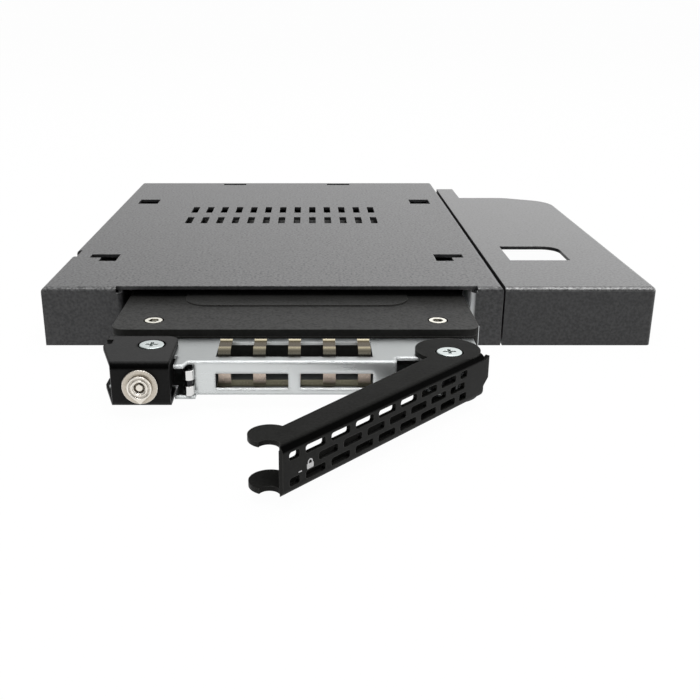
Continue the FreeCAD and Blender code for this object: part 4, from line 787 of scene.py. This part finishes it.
# %% Nickel-flashed bronze
# Painted light along a finger: tip and knuckle are painted highlights, the dip a painted reflection, the
# lower part painted shade and the stem painted light.
FINGER_LIGHT_TONES = [(0.0, "#8C8574"), (0.4, "#6A6454"), (0.7, "#3E3826"), (3.7, "#3A3424"), (4.05, "#AAA18A"),
                (4.35, "#6E6858"), (4.8, "#3E3B33"), (5.8, "#24231F"), (7.4, "#24231F"), (7.9, "#ECD8C8"),
                (10.6, "#ECD8C8"), (11.2, "#7A7562"), (FOOT_LENGTH, "#8C8874")]
STEM_START = (7.4, 7.9)
STEM_SHINE = 0.3
TARNISH_MM = 0.3
TARNISH = 0.1
LOW_ANGLE_TINT = "#DEDBD9"


def spring_strip(name, light_tones, roughness):
    """Tone by the length from the tip over the last length of the ramp, painted light and shade along the
    finger. Specks a third of a millimetre wide dull it, and the share of metal falls where the stem starts."""
    material, tree, output, place = new_material(name)
    specks = add(tree, "ShaderNodeTexNoise", {"Vector": place, "Scale": 1 / (TARNISH_MM * MM), "Detail": 3.0})
    along = add(tree, "ShaderNodeAttribute", attribute_name="along").outputs["Fac"]
    whole = light_tones[-1][0]
    share = add(tree, "ShaderNodeMath", {0: along, 1: whole}, operation="DIVIDE")
    ramp = add(tree, "ShaderNodeValToRGB", {"Fac": share.outputs[0]})
    stops = ramp.color_ramp.elements
    stops[0].color, stops[-1].color = linear(light_tones[0][1]), linear(light_tones[-1][1])
    for length, tone in light_tones[1:-1]:
        stops.new(length / whole).color = linear(tone)
    rough = add(tree, "ShaderNodeMapRange", {"Value": specks.outputs["Fac"], "To Min": roughness - TARNISH,
                                             "To Max": roughness + TARNISH})
    shine = add(tree, "ShaderNodeMapRange", {"Value": along, "From Min": STEM_START[0],
                                             "From Max": STEM_START[1], "To Min": 1.0, "To Max": STEM_SHINE})
    metal = add(tree, "ShaderNodeBsdfPrincipled", {"Base Color": ramp.outputs["Color"],
                                                   "Metallic": shine.outputs[0],
                                                   "Roughness": rough.outputs[0],
                                                   "Specular Tint": linear(LOW_ANGLE_TINT)})
    tree.links.new(metal.outputs[0], output.inputs["Surface"])
    return material


fingers.data.materials.append(spring_strip("nickel_flashed_bronze_strip", FINGER_LIGHT_TONES, 0.25))
print("tones along a finger:", len(FINGER_LIGHT_TONES))

# %% [markdown]
# The circuit boards are glass-fibre laminate under green solder mask, a thin glossy lacquer. Copper tracks
# under it show as slightly paler bands. Real tracks could be drawn one by one, but the boards are hardly
# seen, so bands of a cell pattern stand in for them. The connectors are moulded nylon: black, with a soft
# satin skin from the mould, which the powder coat gives with a very fine grain.

# %% Boards and connectors
CELL_TRACKS = 4
BANDS = 6.0
BAND_STEP = (0.55, 0.62)
TRACK_STRENGTH = 0.3
TRACK_HEIGHT = 0.03
LACQUER_ROUGH = 0.25


def solder_mask(name, deep, pale, track_mm):
    """Green lacquer: the distance in each cell runs up and down and steps between two greens in bands."""
    material, tree, output, place = new_material(name)
    cells = add(tree, "ShaderNodeTexVoronoi", {"Vector": place, "Scale": 1 / (CELL_TRACKS * track_mm * MM)},
                distance="MANHATTAN")
    bands = add(tree, "ShaderNodeMath", {0: cells.outputs["Distance"], 1: BANDS}, operation="MULTIPLY")
    bands = add(tree, "ShaderNodeMath", {0: bands.outputs[0], 1: 1.0}, operation="PINGPONG")
    step = add(tree, "ShaderNodeMapRange", {"Value": bands.outputs[0], "From Min": BAND_STEP[0],
                                            "From Max": BAND_STEP[1]})
    colour = add(tree, "ShaderNodeMix", {"Factor": step.outputs[0], "A": linear(deep), "B": linear(pale)},
                 data_type="RGBA")
    bump = add(tree, "ShaderNodeBump", {"Height": step.outputs[0], "Strength": TRACK_STRENGTH,
                                        "Distance": TRACK_HEIGHT * MM})
    lacquer = add(tree, "ShaderNodeBsdfPrincipled", {"Base Color": colour.outputs["Result"],
                                                     "Roughness": LACQUER_ROUGH,
                                                     "Normal": bump.outputs[0]})
    tree.links.new(lacquer.outputs[0], output.inputs["Surface"])
    return material


board_mask = solder_mask("solder_mask_green_laminate", "#0F3A22", "#1C5232", 0.3)
nylon = powder_coat("moulded_nylon_black", deep="#161617", pale="#1D1D1E", worn_glint="#2A2A2B", grain_mm=0.15,
                    hills=0.15, roughness=0.5, ior=1.5, speckle=0.0, upright_sheen=0.78, level_sheen=1.0, shade_reach_mm=2.0,
                    edge_mm=0.12, wear_glint=0.3, bend_mm=0.0, bend_light=0.0)
dress(board_mask, "backplane_board", "drive_board")
dress(nylon, "drive_socket", "host_connector", "drive_plug")
print("boards and connectors:", board_mask.name, nylon.name)

# %% [markdown]
# A connector's tongue carries gold-flashed contacts, in one group for the data and one for the power, with
# a gap between them so that it can't be plugged in the wrong way round. Each contact is a flat spring that
# lies on the nylon. They are too many to draw by hand, and all alike, so one thin box is repeated along the
# row by adding an array of places to an array of corners.

# %% Contacts on the tongues
CONTACT_PITCH = 1.27
CONTACT_WIDE = 0.8
CONTACT_THICK = 0.03
GROUP_GAP = 3


def contact_row(name, counts, middle_x, front, rear, level):
    """Thin boxes in a row: place k lies at k pitches, with some pitches left out after the first group."""
    number = np.arange(sum(counts))
    places = number + GROUP_GAP * (number >= counts[0])
    places = middle_x + CONTACT_PITCH * (places - places.mean()) - CONTACT_WIDE / 2
    starts = np.column_stack([places, np.full((len(places), 2), (front, level))])
    box = BOX_CORNERS * (CONTACT_WIDE, rear - front, CONTACT_THICK)
    points = (starts[:, None] + box).reshape(-1, 3)
    faces = (BOX_FACES + len(box) * number[:, None, None]).reshape(-1, 4)
    return new_piece(name, points, faces)


contact_gold = plated_sheet("gold_flashed_bronze_contact", base="#E2B659", flat="#D9A94A", roughness=0.28,
                            line_mm=0.2, cloud_mm=1.0, cloud=0.06, fold_mm=0.02, fold_end=EVERYWHERE)
host_low, host_high = corners("host_connector")
plug_low, plug_high = corners("drive_plug")
host_contacts = contact_row("host_contacts", counts=(7, 6), middle_x=middle("host_connector")[0],
                            front=host_low[1] + 1.0, rear=host_high[1] - 1.3,
                            level=middle("host_connector")[2] + 0.5)
plug_contacts = contact_row("plug_contacts", counts=(7, 15), middle_x=middle("drive_plug")[0],
                            front=plug_low[1] + 1.5, rear=plug_high[1] - 0.5, level=plug_high[2] - 0.6)
for contacts, body in ((host_contacts, "chassis"), (plug_contacts, "tray")):
    contacts.data.materials.append(contact_gold)
    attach(contacts, body)
    print(contacts.name, "has", len(contacts.data.polygons) // len(BOX_FACES), "contacts")

# %% [markdown]
# The lever has a small white print at its free end: a padlock sign and a dash beside it. On the real lever
# it is pad-printed ink, a few hundredths of a millimetre thick. It could be a picture on the paint, but a
# thin sheet of its own has sharp edges at any size. The lever stands open at an angle, so a point is first
# laid out on the shut lever and is then turned about the pivot.

# %% Printed sign on the lever
SIGN_MIDDLE = -41.6
SIGN_LOW = 4.75
SIGN_WIDE = 1.4
SIGN_TALL = 0.8
SHACKLE_OUTER = 0.38 * SIGN_WIDE
SHACKLE_INNER = 0.22 * SIGN_WIDE
SHACKLE_LEG = 0.2
SHACKLE_POINTS = 17
DASH_AWAY = 2.1
DASH_HALF = 0.35
DASH_LOW = 0.1
DASH_TALL = 0.2
WEB_FACE = -5.2
INK_THICK = 0.02
LEFT_RIGHT = np.array([-1, 1, 1, -1])
LOW_HIGH = np.array([0, 0, 1, 1])

hinge = next(j for j in frame["record"]["behaviour"]["joints"] if j["name"] == "lever_swing")
pivot = np.array(hinge["pos_m"][:2]) / MM
open_angle = -math.radians(hinge["range_deg"][0])


def on_lever(along, up):
    """Point on the web's outer face: the shut place, turned about the pivot by the open angle."""
    along, up = np.broadcast_arrays(np.asarray(along, float), np.asarray(up, float))
    deep = WEB_FACE - INK_THICK
    x = pivot[0] + math.cos(open_angle) * along - math.sin(open_angle) * deep
    y = pivot[1] + math.sin(open_angle) * along + math.cos(open_angle) * deep
    return np.stack([x, y, up], axis=-1).reshape(-1, 3)


def printed_sign(name):
    """A padlock: a low box, and over it a shackle, pairs of outer and inner points along a leg, half a ring
    and a leg; and a short dash."""
    top = SIGN_LOW + SIGN_TALL
    turn = np.linspace(0, math.pi, SHACKLE_POINTS)[:, None]
    radius = np.array([SHACKLE_OUTER, SHACKLE_INNER])
    ring_x = np.vstack([radius, radius * np.cos(turn), -radius])
    ring_z = np.vstack([np.full(2, top), top + SHACKLE_LEG + radius * np.sin(turn), np.full(2, top)])
    body = on_lever(SIGN_MIDDLE + SIGN_WIDE / 2 * LEFT_RIGHT, SIGN_LOW + SIGN_TALL * LOW_HIGH)
    dash = on_lever(SIGN_MIDDLE - DASH_AWAY + DASH_HALF * LEFT_RIGHT,
                    SIGN_LOW + DASH_LOW + DASH_TALL * LOW_HIGH)
    shackle = on_lever(SIGN_MIDDLE + ring_x, ring_z)
    first = len(body) + len(dash) + 2 * np.arange(len(ring_x) - 1)
    strip = np.stack([first, first + 2, first + 3, first + 1], axis=1)
    faces = np.vstack([QUAD, QUAD + len(body), strip])
    return new_piece(name, np.vstack([body, dash, shackle]), faces)


sign = printed_sign("lever_sign")
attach(sign, "lever_body")
print("sign:", len(sign.data.polygons), "faces")

# %% [markdown]
# Pad-printed ink is matt and a little thin in places, so that the black paint dulls its white. A plain white
# would look like a sticker. A fine noise between two greys gives the thin spots.

# %% Printing ink
INK_SPOT = 0.2
INK_ROUGH = 0.6
INK_THIN = "#9C9C9C"


def printing_ink(name, tone):
    """Colour from thin to full ink by a noise as wide as the spots."""
    material, tree, output, place = new_material(name)
    thin = add(tree, "ShaderNodeTexNoise", {"Vector": place, "Scale": 1 / (INK_SPOT * MM), "Detail": 2.0})
    colour = add(tree, "ShaderNodeMix", {"Factor": thin.outputs["Fac"], "A": linear(INK_THIN),
                                         "B": linear(tone)}, data_type="RGBA")
    ink = add(tree, "ShaderNodeBsdfPrincipled", {"Base Color": colour.outputs["Result"],
                                                 "Roughness": INK_ROUGH})
    tree.links.new(ink.outputs[0], output.inputs["Surface"])
    return material


sign.data.materials.append(printing_ink("pad_printed_ink_white", "#DADADA"))
print("ink:", sign.data.materials[0].name)
